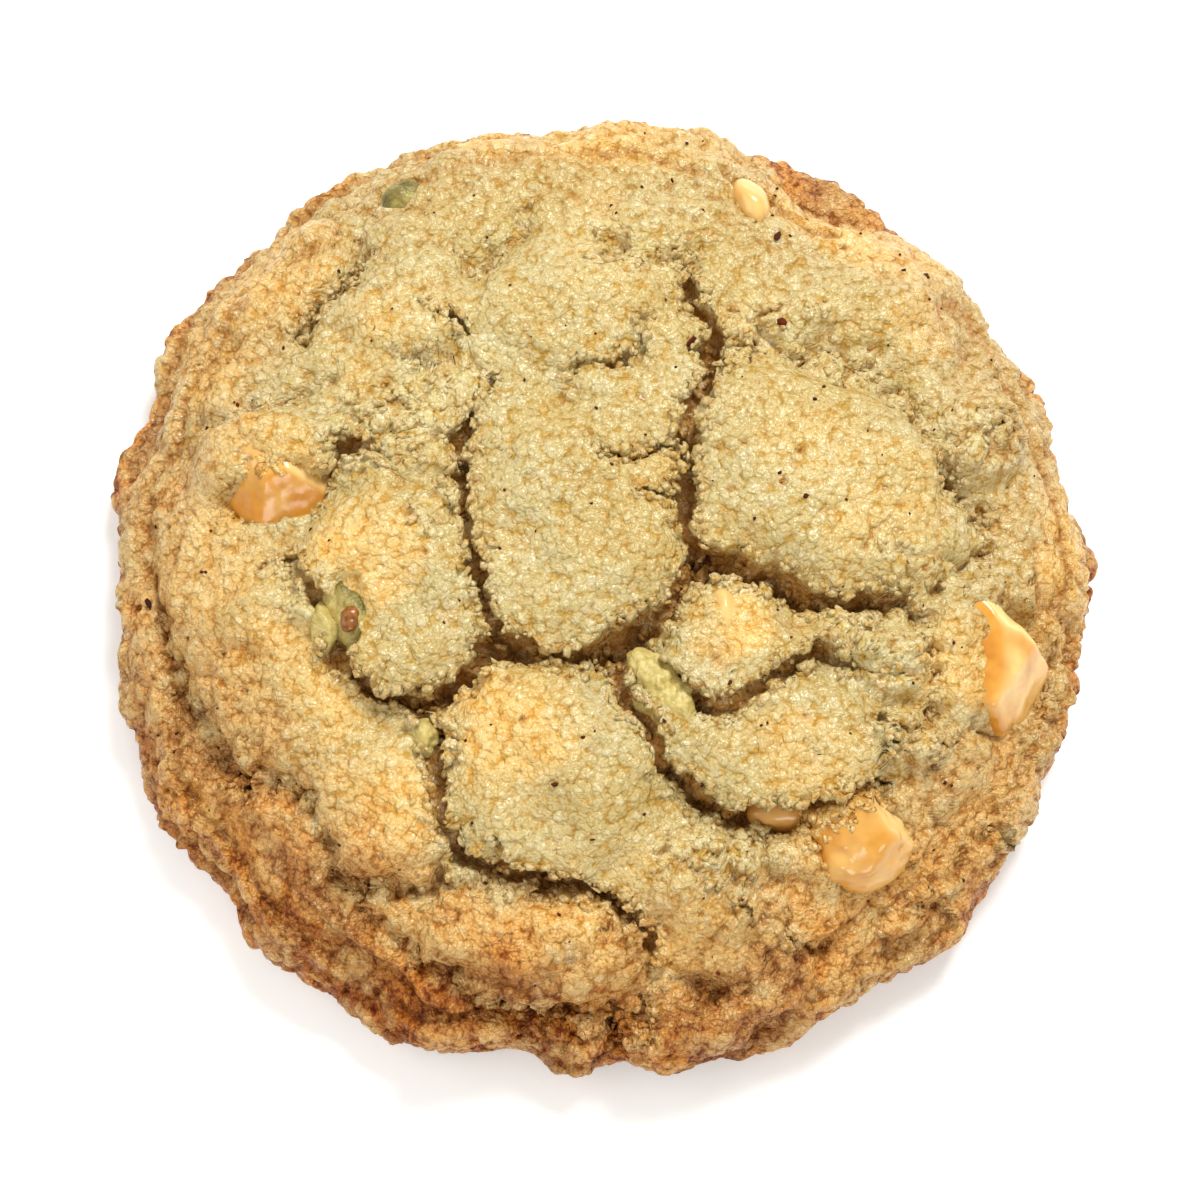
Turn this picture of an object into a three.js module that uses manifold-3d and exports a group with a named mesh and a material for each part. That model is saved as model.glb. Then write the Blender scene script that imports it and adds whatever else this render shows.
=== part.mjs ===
// Pistachio cookie with white chocolate chunks: a thick, cracked drop cookie.
// Millimetres, +Z up, -Y towards the viewer, origin at the middle of the underside.
// The dough is one solid: a domed cake whose crust is lifted into plates and lumps, pressed into
// furrows, split by cracks and hollowed round every chunk and nut. Each chunk and nut is its own solid.
import * as THREE from 'three';
import { mergeVertices } from 'three/addons/utils/BufferGeometryUtils.js';
import Module from 'manifold-3d';

const wasm = await Module();
wasm.setup();

// ---------------------------------------------------------------- driving dimensions

const RIM_RADIUS = 44.5;        // plain radius of the cookie at its widest line
const CROWN_HEIGHT = 17.2;      // height of the plain dome, before its plates are lifted
const RIM_HEIGHT = 3.4;         // height of the widest line above the underside
const FOOT_TUCK = 1.4;          // how far the wall draws in below the widest line
const CROWN_FULLNESS = 2.4;     // exponent of the dome's plan: 2 is an ellipsoid, more is flatter
const WALL_FULLNESS = 2.0;      // exponent of the dome's height
const LEDGE_LOW = 2.8;          // below this height the spread foot has its own outline
const LEDGE_HIGH = 6.4;         // above this height the dome has its own outline
const CRUST_CELLS = 49;         // cells across the crust's square grid
const PROFILE_STEPS = 240;      // steps in which the dome's profile is measured
const CRACK_RISE = 3;           // how far a crack's cutter stands above the crust
const CRACK_FLOOR = 0.3;        // width of a crack's floor as a share of its mouth
const PIECE_GAP = 0.35;         // clear gap between the dough and each chunk or nut
const SWELL = 0.32;             // height of the crust's slow, even unevenness

const DEGREE = Math.PI / 180;

// Swellings and notches of the outline: [angle in degrees, spread in degrees, swell in mm].
const ALL_LOBES = [
  [36, 14, -1.2], [71, 3, -1.0], [90, 13, 0.2], [120, 16, 1.0], [176, 5, -0.8], [195, 8, -0.5],
  [228, 14, -0.3], [243, 4, -0.4], [250, 6, 0.6], [260, 3, -0.6], [266, 4, 0.5], [273, 3, -0.9],
  [284, 8, 0.2], [297, 6, -0.4], [320, 9, -0.8], [336, 4, -1.2],
];
const FOOT_LOBES = [[62, 6, 0.7], [147, 8, 2.0], [166, 5, 1.2]];
const DOME_LOBES = [
  [60, 9, -4.2], [3, 11, -2.0], [22, 5, -1.4], [146, 9, -0.6], [168, 8, -1.6], [215, 22, -1.0],
];

// Plates and lumps of the crust: [x, y, half length, half width, turn in degrees, rise].
const MOUNDS = [
  [-2, 1, 10, 11, 0, 1.2],          // central plate
  [-3, 23.5, 9.5, 7.5, -10, 1.0],   // plate above it
  [20.5, 6.2, 15, 10.2, -24, 2.3],  // large plate on the right
  [20, 26, 11.5, 7, -12, 1.1],      // plate at the upper right
  [29, 21.5, 5, 4.5, 0, 0.9],
  [34, 11, 4.8, 4.8, 0, 1.9],       // round lump at the right
  [40, 0, 3.6, 11, 6, 0.6],
  [11.8, -8.6, 7.6, 7, -20, 0.9],   // sunken plate under the large one
  [21.6, -8, 3.4, 2.6, -20, 1.6],   // pale lumps beside the right chunk
  [25.6, -10.3, 3.4, 3.4, 0, 1.6],
  [27, -17, 3.8, 3, 10, 1.5],
  [16, -17.9, 10.4, 6.4, 8, 1.7],   // lower right plate
  [-3.6, -20, 10.6, 10.2, 0, 1.5],  // lower plate
  [-19, -4, 8.6, 10.8, 12, 1.7],    // left plate
  [-18, 9.5, 6, 4, 0, 0.9],
  [-30, 9, 6.6, 5.2, 0, 1.6],       // dough over the left chunk
  [31.5, -10, 5.4, 6.4, 0, 1.5],    // dough over the right chunk
  [22, -25.6, 6, 5.2, 20, 1.0],     // dough round the lower right chunk
  [-30, 27, 8, 6.5, 40, 0.9],
  [-17, 22.5, 6.4, 5.4, 0, 0.9],
  [-28, -11, 10, 8, -20, 0.8],
  [-20, -22.5, 7.4, 7, -30, 1.1],
  [-3, -35.5, 8, 5, 0, 1.0],
  [9.5, -30.5, 7, 4, -10, 0.9],
  [-16, 37, 6, 3, 10, 0.7],
];

// Furrows pressed into the crust, each a path of [x, y, half width, depth].
const FURROWS = [
  [[-14.5, 29, 1.4, 1], [-11, 26.3, 1.6, 1.8], [-8.3, 29.6, 1.4, 1.7], [-6.4, 34.5, 1.1, 1.1]],
  [[-3, 31.5, 1.4, 1], [0, 29.5, 1.8, 2.2], [3.5, 27.8, 1.9, 2.6], [7.5, 27.8, 1.6, 2.4], [10, 28.7, 1, 1]],
  [[10.5, 18.3, 1.8, 2], [14, 19.6, 2.2, 2.2], [20.5, 18.4, 2.2, 2.2], [26.5, 15, 2, 2.3],
    [29.8, 11, 1.5, 2]],
  [[29.8, 11, 1.5, 2], [30.4, 7, 1.2, 2.6], [34.4, 4.6, 1.4, 2.2], [34.6, 0.5, 1.2, 2],
    [29.5, -3.4, 1, 1.4]],
  [[28.2, -5.5, 1, 1.8], [28.6, -11, 1, 1.8], [28.8, -14.6, 1, 1.8], [34.5, -15.6, 1, 1.2]],
  [[-38, 13, 1, 0.9], [-33.5, 12.6, 1.1, 1.4], [-28, 14.5, 1, 1.2], [-24.4, 16.2, 0.9, 1.4]],
  [[-22.2, 31, 0.9, 1.2], [-22.6, 26, 1, 2.2], [-26, 22.8, 1.2, 2.2], [-27, 20, 1, 1.6]],
  [[-21, 14.8, 1, 1.3], [-17.6, 15.2, 1, 1.4], [-13, 18.2, 1.1, 1.2]],
  [[-5, 15.2, 0.9, 0.8], [-2, 13.2, 1, 1.1], [1.4, 13.6, 0.8, 0.8]],
  [[0, 8.8, 0.8, 0.8], [2.6, 7.6, 0.9, 1.2], [7.2, 9.6, 0.8, 1.2]],
  [[-41.4, 5.5, 0.8, 0.8], [-41, -2, 0.9, 1.2], [-38.2, -11.2, 1.1, 1.9], [-35, -17, 1.2, 2.2],
    [-31, -20, 1.4, 3], [-26, -21.4, 1.1, 1.8], [-24.4, -25, 1, 2], [-22, -29.7, 1.1, 2.5],
    [-16.5, -30.3, 1, 2], [-13.4, -29.4, 0.9, 2.2]],
  [[-20.5, -32, 0.9, 1.1], [-16.5, -35.3, 1, 1.9], [-11, -39.2, 1.2, 2.6], [-5, -41, 1.1, 2.4],
    [1.7, -42, 1.5, 3]],
  [[4.6, -36.8, 0.9, 1.1], [9.5, -39, 1.1, 1.9], [15.5, -38, 0.9, 1.3]],
  [[16.4, -33.3, 0.8, 1.4], [20, -35.3, 1, 1.8]],
  [[24.6, -32.6, 0.8, 1], [28, -31.4, 0.9, 1.5], [31.3, -29, 0.8, 1]],
];

// Cracks right through the crust, each a path of [x, y, half width, depth].
const CRACKS = [
  [[7.2, 27, 0.5, 2], [8.4, 24, 0.9, 4], [9.9, 20.5, 0.9, 5], [9.9, 16.8, 1, 5], [8.1, 13, 1, 4.5],
    [8, 8.6, 0.8, 3.6], [7.6, 4.5, 1, 5], [7.8, 1.6, 1.1, 6], [8.8, -0.9, 1.2, 6], [14, -2.7, 1, 4.6],
    [18.4, -4.7, 1.3, 5.4], [22, -5.4, 0.9, 4.6], [26.4, -4.4, 0.8, 3.2]],
  [[9.6, -1.2, 1.0, 5], [6.6, -4, 0.8, 4.2], [4.6, -7, 1.2, 5], [1.3, -10.1, 1.5, 6],
    [-3.6, -10.4, 0.9, 4], [-9.8, -8.9, 1.4, 6], [-11.2, -11.8, 1.1, 5], [-15.2, -14.3, 1.2, 5.5],
    [-19, -13.7, 0.9, 4.6], [-21.9, -10.8, 1, 5], [-22.4, -7.6, 1.4, 5], [-25.6, -4.2, 1, 3],
    [-27.3, -1, 0.6, 1.6]],
  [[-10.4, 13.6, 0.5, 2], [-12.8, 9.6, 0.9, 4], [-12.8, 6, 0.9, 4], [-10.9, 1.8, 0.7, 2.8],
    [-10.4, -4.6, 0.8, 4.2], [-9.6, -9.6, 1.2, 5.4]],
  [[-19.6, 9.4, 0.6, 2.5], [-22.9, 9.9, 1, 4], [-24.1, 7.2, 0.9, 3.6], [-25.8, 5, 0.8, 3]],
  [[-14.6, -13.4, 1, 4.6], [-14.3, -18.6, 0.8, 3.2], [-14.3, -22.4, 1, 3.6], [-12.6, -27.4, 0.9, 4],
    [-7.5, -28.9, 1, 4.4], [-2.3, -30.1, 1, 4.5], [2.6, -32.4, 0.9, 3.6], [5.2, -36.2, 0.6, 2]],
  [[1.4, -9.4, 1.2, 5], [2, -13.4, 0.8, 4], [4.6, -16.9, 1.1, 4.4], [5.6, -20, 0.9, 4.4],
    [8.6, -22.8, 0.9, 3.8], [12.4, -24, 1.3, 5], [16.8, -24.6, 1.3, 5], [20.6, -22.4, 0.9, 4.2],
    [25, -21, 0.6, 2.4]],
  [[5.2, -10.8, 0.7, 3.4], [8.2, -14.3, 0.8, 3.8], [12, -14.8, 0.8, 3.2], [16.4, -11.4, 0.7, 2.8],
    [18.6, -9.7, 1, 3.6], [22, -10.6, 0.5, 1.8]],
];

// Chunks and nuts: an ellipsoid of half sizes [a, b, c], turned about Z, sunk below the crust and
// cut flat by faces of [azimuth, elevation, distance from its middle]. A high edge number is crisp.
const WHITE_CHOCOLATE = { colour: 0xf0c477, roughness: 0.35 };
const PISTACHIO = { colour: 0xb4ad62, roughness: 0.55 };
const NUT_SKIN = { colour: 0x8a4a24, roughness: 0.35 };
const MORSELS = [
  { name: 'white_chocolate_right', finish: WHITE_CHOCOLATE, detail: 4, at: [34.2, -8.6], sink: 3.1,
    half: [7, 7.4, 6], turn: -4, edge: 30, faces: [[350, 60, 3.72], [190, 80, 3.33], [42, 40, 4.2],
      [42, 8, 3.95], [332, 25, 4.0], [100, 12, 5.6], [250, 20, 5.6], [0, -90, 4.2]] },
  { name: 'white_chocolate_left', finish: WHITE_CHOCOLATE, detail: 4, at: [-28.7, 7.4], sink: 4.2,
    half: [5.2, 5, 5], turn: 6, edge: 30, faces: [[290, 50, 3.6], [213, 45, 3.9], [20, 50, 3.8],
      [84, 84, 4.1], [120, 10, 4.4], [0, -90, 4]] },
  { name: 'white_chocolate_lower_right', finish: WHITE_CHOCOLATE, detail: 4, at: [21.9, -25.1], sink: 3.3,
    half: [5.6, 5.3, 5], turn: 10, edge: 24, faces: [[262, 72, 3.7], [30, 26, 4.3], [203, 22, 4.0],
      [113, 34, 4.2], [319, 28, 4.4], [264, 30, 4.5], [0, -90, 4]] },
  { name: 'white_chocolate_top', finish: WHITE_CHOCOLATE, detail: 2, at: [13.9, 34.3], sink: 0.6,
    half: [1.7, 2.9, 1.8], turn: 12, edge: 8, faces: [[200, 30, 1.5], [60, 40, 1.6]] },
  { name: 'white_chocolate_in_crack', finish: WHITE_CHOCOLATE, detail: 2, at: [15.8, -23], sink: 4,
    half: [3, 2, 1.7], turn: 4, edge: 8, faces: [[270, 20, 1.6]] },
  { name: 'white_chocolate_middle', finish: WHITE_CHOCOLATE, detail: 2, at: [10.9, -6.2], sink: 1.15,
    half: [1.3, 2.1, 1.4], turn: 14, edge: 8, faces: [[170, 40, 1.1], [10, 40, 1.1]] },
  { name: 'pistachio_left', finish: PISTACHIO, detail: 3, at: [-21.9, -5.8], sink: 2,
    half: [2.3, 3.4, 2.3], turn: 25, edge: 12, faces: [[200, 46, 1.4], [60, 70, 2]] },
  { name: 'pistachio_left_slice', finish: PISTACHIO, detail: 2, at: [-24.1, -7.1], sink: 1.7,
    half: [1.2, 2.7, 1.5], turn: -4, edge: 10, faces: [[215, 60, 1], [40, 30, 1]] },
  { name: 'pistachio_middle', finish: PISTACHIO, detail: 3, at: [5.4, -13.2], sink: 1.2,
    half: [2.2, 4.3, 2.2], turn: 33, edge: 8, faces: [[60, 62, 1.9], [225, 50, 1.8]] },
  { name: 'pistachio_lower_left', finish: PISTACHIO, detail: 2, at: [-15.6, -17], sink: 1.1,
    half: [1.6, 1.9, 1.5], turn: -40, edge: 8, faces: [[240, 60, 1.3]] },
  { name: 'pistachio_top', finish: PISTACHIO, detail: 2, at: [-17.9, 34.4], sink: 0.9,
    half: [2.3, 2, 1.6], turn: 20, edge: 8, faces: [[280, 60, 1.3]] },
  { name: 'pistachio_skin', finish: NUT_SKIN, detail: 1, at: [-21.8, -6.9], sink: 0.2,
    half: [0.8, 1.25, 0.5], turn: -12, edge: 6, faces: [] },
];

// ---------------------------------------------------------------- shape of the crust

const smooth = (low, high, value) => THREE.MathUtils.smoothstep(value, low, high);

/** Sum of bell-shaped swellings round the outline, at an angle in degrees. */
function lobeSum(lobes, angle) {
  let total = 0;
  for (const [centre, spread, swell] of lobes) {
    const off = ((angle - centre + 540) % 360) - 180;
    total += swell * Math.exp(-((off / spread) ** 2));
  }
  return total;
}

/** Radius of the outline at an angle in radians and a height: the foot below, the dome above. */
function outline(theta, height) {
  const angle = ((theta / DEGREE) + 360) % 360;
  const dome = smooth(LEDGE_LOW, LEDGE_HIGH, height);
  const ripple = 0.22 * Math.sin(9 * theta + 1) + 0.16 * Math.sin(17 * theta + 2.1);
  const own = dome * lobeSum(DOME_LOBES, angle) + (1 - dome) * lobeSum(FOOT_LOBES, angle);
  return RIM_RADIUS + ripple + lobeSum(ALL_LOBES, angle) + own;
}

/** Dome height over a radius given as a share of the outline. */
function domeHeight(share) {
  const inside = Math.max(0, 1 - Math.min(1, share) ** CROWN_FULLNESS);
  return RIM_HEIGHT + (CROWN_HEIGHT - RIM_HEIGHT) * inside ** (1 / WALL_FULLNESS);
}

/** The profile from the crown's middle out to the rim and in to the underside, by arc length. */
function measureProfile() {
  const points = [];
  for (let i = 0; i <= PROFILE_STEPS; i++) {
    const share = Math.sin((i / PROFILE_STEPS) * Math.PI / 2);
    points.push([share, domeHeight(share)]);
  }
  const tuckSteps = 20;
  for (let i = 1; i <= tuckSteps; i++) {
    const down = i / tuckSteps;
    points.push([1 - (FOOT_TUCK / RIM_RADIUS) * down ** 2, RIM_HEIGHT * (1 - down)]);
  }
  const lengths = [0];
  for (let i = 1; i < points.length; i++) {
    const run = (points[i][0] - points[i - 1][0]) * RIM_RADIUS;
    lengths.push(lengths[i - 1] + Math.hypot(run, points[i][1] - points[i - 1][1]));
  }
  return { points, lengths };
}

const PROFILE = measureProfile();

/** Share of the outline and height at a distance of 0 to 1 along the profile. */
function alongProfile(distance) {
  const { points, lengths } = PROFILE;
  const target = distance * lengths[lengths.length - 1];
  let i = 1;
  while (i < lengths.length - 1 && lengths[i] < target) i++;
  const part = (target - lengths[i - 1]) / (lengths[i] - lengths[i - 1]);
  const share = points[i - 1][0] + (points[i][0] - points[i - 1][0]) * part;
  const height = points[i - 1][1] + (points[i][1] - points[i - 1][1]) * part;
  return [share, height];
}

/** Rise of one plate: level on top and rounded down at its edge. */
function moundRise([cx, cy, long, wide, turn, rise], x, y) {
  const c = Math.cos(turn * DEGREE);
  const s = Math.sin(turn * DEGREE);
  const u = ((x - cx) * c + (y - cy) * s) / long;
  const v = ((y - cy) * c - (x - cx) * s) / wide;
  const reach = Math.min(1, u * u + v * v);
  return rise * (1 - reach ** 3) ** 2;
}

/** Depth of one furrow: a bell across its path, with its width and depth blended along it. */
function furrowDepth(path, x, y) {
  let deepest = 0;
  for (let i = 1; i < path.length; i++) {
    const [ax, ay, aw, ad] = path[i - 1];
    const [bx, by, bw, bd] = path[i];
    const dot = (x - ax) * (bx - ax) + (y - ay) * (by - ay);
    const along = THREE.MathUtils.clamp(dot / ((bx - ax) ** 2 + (by - ay) ** 2), 0, 1);
    const off = Math.hypot(x - ax - (bx - ax) * along, y - ay - (by - ay) * along);
    const half = THREE.MathUtils.lerp(aw, bw, along);
    const depth = THREE.MathUtils.lerp(ad, bd, along);
    deepest = Math.max(deepest, depth * Math.exp(-((off / half) ** 2)));
  }
  return deepest;
}

/** How far the crust stands off the plain dome at a place in plan. */
function crustLift(x, y) {
  let lift = SWELL * (Math.sin(0.31 * x + 1.3) * Math.cos(0.27 * y - 0.6) + Math.sin(0.21 * x - 0.43 * y));
  for (const mound of MOUNDS) lift += moundRise(mound, x, y);
  for (const furrow of FURROWS) lift -= furrowDepth(furrow, x, y);
  return lift;
}

/** Height of the crust over a place in plan. */
function crustHeight(x, y) {
  const share = Math.hypot(x, y) / outline(Math.atan2(y, x), CROWN_HEIGHT);
  return domeHeight(share) + crustLift(x, y);
}

/** A point of the crust from its distance along the profile and its angle. */
function crustPoint(distance, theta) {
  const [share, height] = alongProfile(distance);
  const step = 0.004;
  const [outShare, outHeight] = alongProfile(Math.min(1, distance + step));
  const [inShare, inHeight] = alongProfile(Math.max(0, distance - step));
  const run = (outShare - inShare) * RIM_RADIUS;
  const drop = inHeight - outHeight;
  const slope = Math.hypot(run, drop);
  const radius = share * outline(theta, height);
  const x = radius * Math.cos(theta);
  const y = radius * Math.sin(theta);
  const lift = crustLift(x, y) * smooth(0, RIM_HEIGHT, height);
  const sideways = lift * drop / slope;
  return [
    x + sideways * Math.cos(theta),
    y + sideways * Math.sin(theta),
    Math.max(0, height + lift * run / slope),
  ];
}

/** Distance from the middle and angle of a grid place in a square: rings of the square become circles. */
function squareToDisc(u, v) {
  if (u === 0 && v === 0) return [0, 0];
  if (Math.abs(u) >= Math.abs(v)) return [Math.abs(u), (v / u) * Math.PI / 4 + (u < 0 ? Math.PI : 0)];
  return [Math.abs(v), Math.PI / 2 - (u / v) * Math.PI / 4 + (v < 0 ? Math.PI : 0)];
}

/** The dough before it cracks: the crust's square grid, closed below by a flat fan. */
function wholeDough() {
  const places = [];
  const faces = [];
  const row = CRUST_CELLS + 1;
  for (let j = 0; j <= CRUST_CELLS; j++) {
    for (let i = 0; i <= CRUST_CELLS; i++) {
      const [distance, theta] = squareToDisc(2 * i / CRUST_CELLS - 1, 2 * j / CRUST_CELLS - 1);
      places.push(...crustPoint(distance, theta));
    }
  }
  for (let j = 0; j < CRUST_CELLS; j++) {
    for (let i = 0; i < CRUST_CELLS; i++) {
      const a = j * row + i;
      faces.push(a, a + 1, a + row + 1, a, a + row + 1, a + row);
    }
  }
  const edge = [];
  for (let i = 0; i < CRUST_CELLS; i++) edge.push(i);
  for (let i = 0; i < CRUST_CELLS; i++) edge.push(i * row + CRUST_CELLS);
  for (let i = CRUST_CELLS; i > 0; i--) edge.push(CRUST_CELLS * row + i);
  for (let i = CRUST_CELLS; i > 0; i--) edge.push(i * row);
  const middle = places.length / 3;
  places.push(0, 0, 0);
  edge.forEach((place, i) => faces.push(edge[(i + 1) % edge.length], place, middle));
  return meshGeometry(places, faces);
}

// ---------------------------------------------------------------- closed meshes and solids

function meshGeometry(places, faces) {
  const geometry = new THREE.BufferGeometry();
  geometry.setAttribute('position', new THREE.Float32BufferAttribute(places, 3));
  geometry.setIndex(faces);
  return geometry;
}

function toSolid(geometry) {
  const plain = geometry.clone();
  plain.deleteAttribute('normal');
  plain.deleteAttribute('uv');
  const merged = mergeVertices(plain, 1e-4);
  return new wasm.Manifold(new wasm.Mesh({
    numProp: 3,
    vertProperties: new Float32Array(merged.attributes.position.array),
    triVerts: new Uint32Array(merged.index.array),
  }));
}

function toGeometry(solid) {
  const mesh = solid.getMesh();
  const geometry = meshGeometry(mesh.vertProperties, Array.from(mesh.triVerts));
  geometry.computeVertexNormals();
  return geometry;
}

/** The one part that is left when loose scraps between the cuts are dropped. */
function largestPart(solid) {
  return solid.decompose().reduce((best, part) => (part.volume() > best.volume() ? part : best));
}

/** The cutter of one crack: a V-shaped section carried along the crack's path. */
function crackCutter(path) {
  const places = [];
  const faces = [];
  path.forEach(([x, y, half, depth], i) => {
    const before = path[Math.max(0, i - 1)];
    const after = path[Math.min(path.length - 1, i + 1)];
    const along = new THREE.Vector2(after[0] - before[0], after[1] - before[1]).normalize();
    const level = crustHeight(x, y);
    const mouth = half * (1 + CRACK_RISE / depth);
    const section = [
      [-mouth, level + CRACK_RISE], [-half * CRACK_FLOOR, level - depth],
      [half * CRACK_FLOOR, level - depth], [mouth, level + CRACK_RISE],
    ];
    for (const [across, height] of section) places.push(x - along.y * across, y + along.x * across, height);
  });
  for (let i = 0; i < path.length - 1; i++) {
    for (let k = 0; k < 4; k++) {
      const a = i * 4 + k;
      const b = i * 4 + (k + 1) % 4;
      faces.push(a, b, b + 4, a, b + 4, a + 4);
    }
  }
  const last = (path.length - 1) * 4;
  faces.push(0, 2, 1, 0, 3, 2, last, last + 1, last + 2, last, last + 2, last + 3);
  return toSolid(meshGeometry(places, faces));
}

/** A chunk or nut: an ellipsoid softly cut by flat faces, grown by a clearance. */
function morselSolid({ at, sink, half, turn, edge, faces, detail }, clearance) {
  const geometry = mergeVertices(barePosition(new THREE.IcosahedronGeometry(1, detail)));
  const position = geometry.attributes.position;
  const cuts = faces.map(([azimuth, elevation, distance]) => {
    const level = Math.cos(elevation * DEGREE);
    const normal = new THREE.Vector3(
      level * Math.cos(azimuth * DEGREE), level * Math.sin(azimuth * DEGREE), Math.sin(elevation * DEGREE));
    return { normal, distance };
  });
  const middle = new THREE.Vector3(at[0], at[1], crustHeight(at[0], at[1]) - sink);
  const upright = new THREE.Vector3(0, 0, 1);
  const ray = new THREE.Vector3();
  for (let i = 0; i < position.count; i++) {
    ray.fromBufferAttribute(position, i).normalize();
    const turned = ray.clone().applyAxisAngle(upright, -turn * DEGREE);
    const round = Math.hypot(turned.x / half[0], turned.y / half[1], turned.z / half[2]);
    let sum = round ** edge;
    for (const { normal, distance } of cuts) sum += Math.max(0, ray.dot(normal) / distance) ** edge;
    const reach = sum ** (-1 / edge) + clearance;
    const place = middle.clone().addScaledVector(ray, reach);
    position.setXYZ(i, place.x, place.y, place.z);
  }
  return toSolid(geometry);
}

function barePosition(geometry) {
  geometry.deleteAttribute('normal');
  geometry.deleteAttribute('uv');
  return geometry;
}

// ---------------------------------------------------------------- the cookie

const cookie = new THREE.Group();

function addPiece(name, solid, { colour, roughness }) {
  const material = new THREE.MeshStandardMaterial({ color: colour, roughness, metalness: 0 });
  const mesh = new THREE.Mesh(toGeometry(solid), material);
  mesh.name = name;
  cookie.add(mesh);
}

let hollows = crackCutter(CRACKS[0]);
for (const crack of CRACKS.slice(1)) hollows = hollows.add(crackCutter(crack));
const placed = [];
for (const morsel of MORSELS) {
  hollows = hollows.add(morselSolid(morsel, PIECE_GAP));
  let solid = morselSolid(morsel, 0);
  for (const earlier of placed) solid = solid.subtract(morselSolid(earlier, PIECE_GAP));
  addPiece(morsel.name, largestPart(solid), morsel.finish);
  placed.push(morsel);
}
const dough = largestPart(toSolid(wholeDough()).subtract(hollows));
addPiece('dough', dough, { colour: 0xdcc185, roughness: 0.75 });

export default cookie;
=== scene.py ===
# %% [markdown]
# # A pistachio cookie
# A thick drop cookie seen almost from above. Its dough rose in the oven and its crust split into plates,
# with deep cracks between them. White chocolate chunks and bits of pistachio stick out of it. The solid
# model gives the pieces their places and sizes; this lesson gives each one its true surface.

# %% The frame
import math
import bpy
import numpy as np
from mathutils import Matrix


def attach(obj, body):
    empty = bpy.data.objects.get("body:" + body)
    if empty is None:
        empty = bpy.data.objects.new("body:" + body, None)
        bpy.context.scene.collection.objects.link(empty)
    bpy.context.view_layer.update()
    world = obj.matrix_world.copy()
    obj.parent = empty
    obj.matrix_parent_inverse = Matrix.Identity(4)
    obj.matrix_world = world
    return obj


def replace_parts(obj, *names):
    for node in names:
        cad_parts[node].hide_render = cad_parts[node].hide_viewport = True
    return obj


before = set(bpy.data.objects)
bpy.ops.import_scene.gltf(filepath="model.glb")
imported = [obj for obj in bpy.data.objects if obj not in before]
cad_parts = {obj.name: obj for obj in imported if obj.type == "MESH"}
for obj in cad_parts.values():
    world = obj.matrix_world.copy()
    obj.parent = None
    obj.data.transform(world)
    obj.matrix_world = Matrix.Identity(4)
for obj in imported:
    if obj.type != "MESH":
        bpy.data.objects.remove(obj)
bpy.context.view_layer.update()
scene = bpy.context.scene
MM = 0.001

# %% [markdown]
# ## The camera and the light
# The cookie was seen from 75 degrees above the table with a long lens. A soft light stands high at the
# upper right, with weaker ones at the left and in front, over a white table. Each has a place, a size, a
# power and a colour. A plain colour transform keeps the dough as pale as the light makes it.

# %% Camera
CAMERA_ELEVATION = math.radians(75)
CAMERA_DISTANCE = 0.303
CAMERA_LENS = 100
SENSOR_WIDTH = 36
AIM = np.array([0, -2, 5]) * MM

camera = bpy.data.objects.new("camera", bpy.data.cameras.new("camera"))
camera.data.lens = CAMERA_LENS
camera.data.sensor_width = SENSOR_WIDTH
camera.data.clip_start = 0.01
back = np.array([0, -math.cos(CAMERA_ELEVATION), math.sin(CAMERA_ELEVATION)])
camera.location = AIM + back * CAMERA_DISTANCE
camera.rotation_euler = (math.pi / 2 - CAMERA_ELEVATION, 0, 0)
scene.collection.objects.link(camera)
scene.camera = camera
scene.view_settings.view_transform = "Standard"


# %% Lights, sky and table
def set_inputs(node, values):
    """Sets a node's inputs to values, or to links from (node, output) pairs."""
    for place, value in values.items():
        if isinstance(value, tuple) and isinstance(value[0], bpy.types.Node):
            node.id_data.links.new(value[0].outputs[value[1]], node.inputs[place])
        else:
            node.inputs[place].default_value = value


LIGHTS = [
    ("key", (0.15, 0.33, 0.45), 0.2, 3.2, (1, 0.99, 0.97)),
    ("fill", (-0.45, 0.05, 0.4), 0.4, 1, (1, 1, 1)),
    ("front", (0.1, -0.5, 0.35), 0.25, 1.1, (1, 1, 1)),
]
SKY = {"Color": (1, 0.97, 0.9, 1), "Strength": 0.55}
TABLE_REACH = 1.5
TABLE_HEIGHT = -0.0001
TABLE_LOOKS = {"Base Color": (0.93, 0.93, 0.93, 1), "Roughness": 0.9,
               "Emission Color": (1, 1, 1, 1), "Emission Strength": 0.18}

for name, place, size, power, tint in LIGHTS:
    light = bpy.data.lights.new(name, "AREA")
    light.size = size
    light.energy = power
    light.color = tint
    holder = bpy.data.objects.new(name, light)
    holder.location = place
    holder.rotation_euler = (-holder.location).to_track_quat("-Z", "Y").to_euler()
    scene.collection.objects.link(holder)

world = bpy.data.worlds.new("studio")
world.use_nodes = True
set_inputs(world.node_tree.nodes["Background"], SKY)
scene.world = world

table = bpy.data.meshes.new("table")
corners = [(-1, -1), (1, -1), (1, 1), (-1, 1)]
table.from_pydata([(x * TABLE_REACH, y * TABLE_REACH, TABLE_HEIGHT) for x, y in corners], [], [(0, 1, 2, 3)])
table_object = bpy.data.objects.new("table", table)
scene.collection.objects.link(table_object)
table_finish = bpy.data.materials.new("white_table")
table_finish.use_nodes = True
set_inputs(table_finish.node_tree.nodes["Principled BSDF"], TABLE_LOOKS)
table.materials.append(table_finish)

# %% [markdown]
# ## Numbers that look like chance
# Crumbs, lips and stains have no order, but they have a size. Two tools make them: a smooth noise, and
# scattered cells, which give each point its distance to the nearest grain. Their seeds are fixed, so every
# run bakes the same cookie.


# %% Noise and cells
def smooth(low, high, value):
    """A step that eases from 0 at low to 1 at high."""
    part = np.clip((value - low) / (high - low), 0, 1)
    return part * part * (3 - 2 * part)


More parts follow.
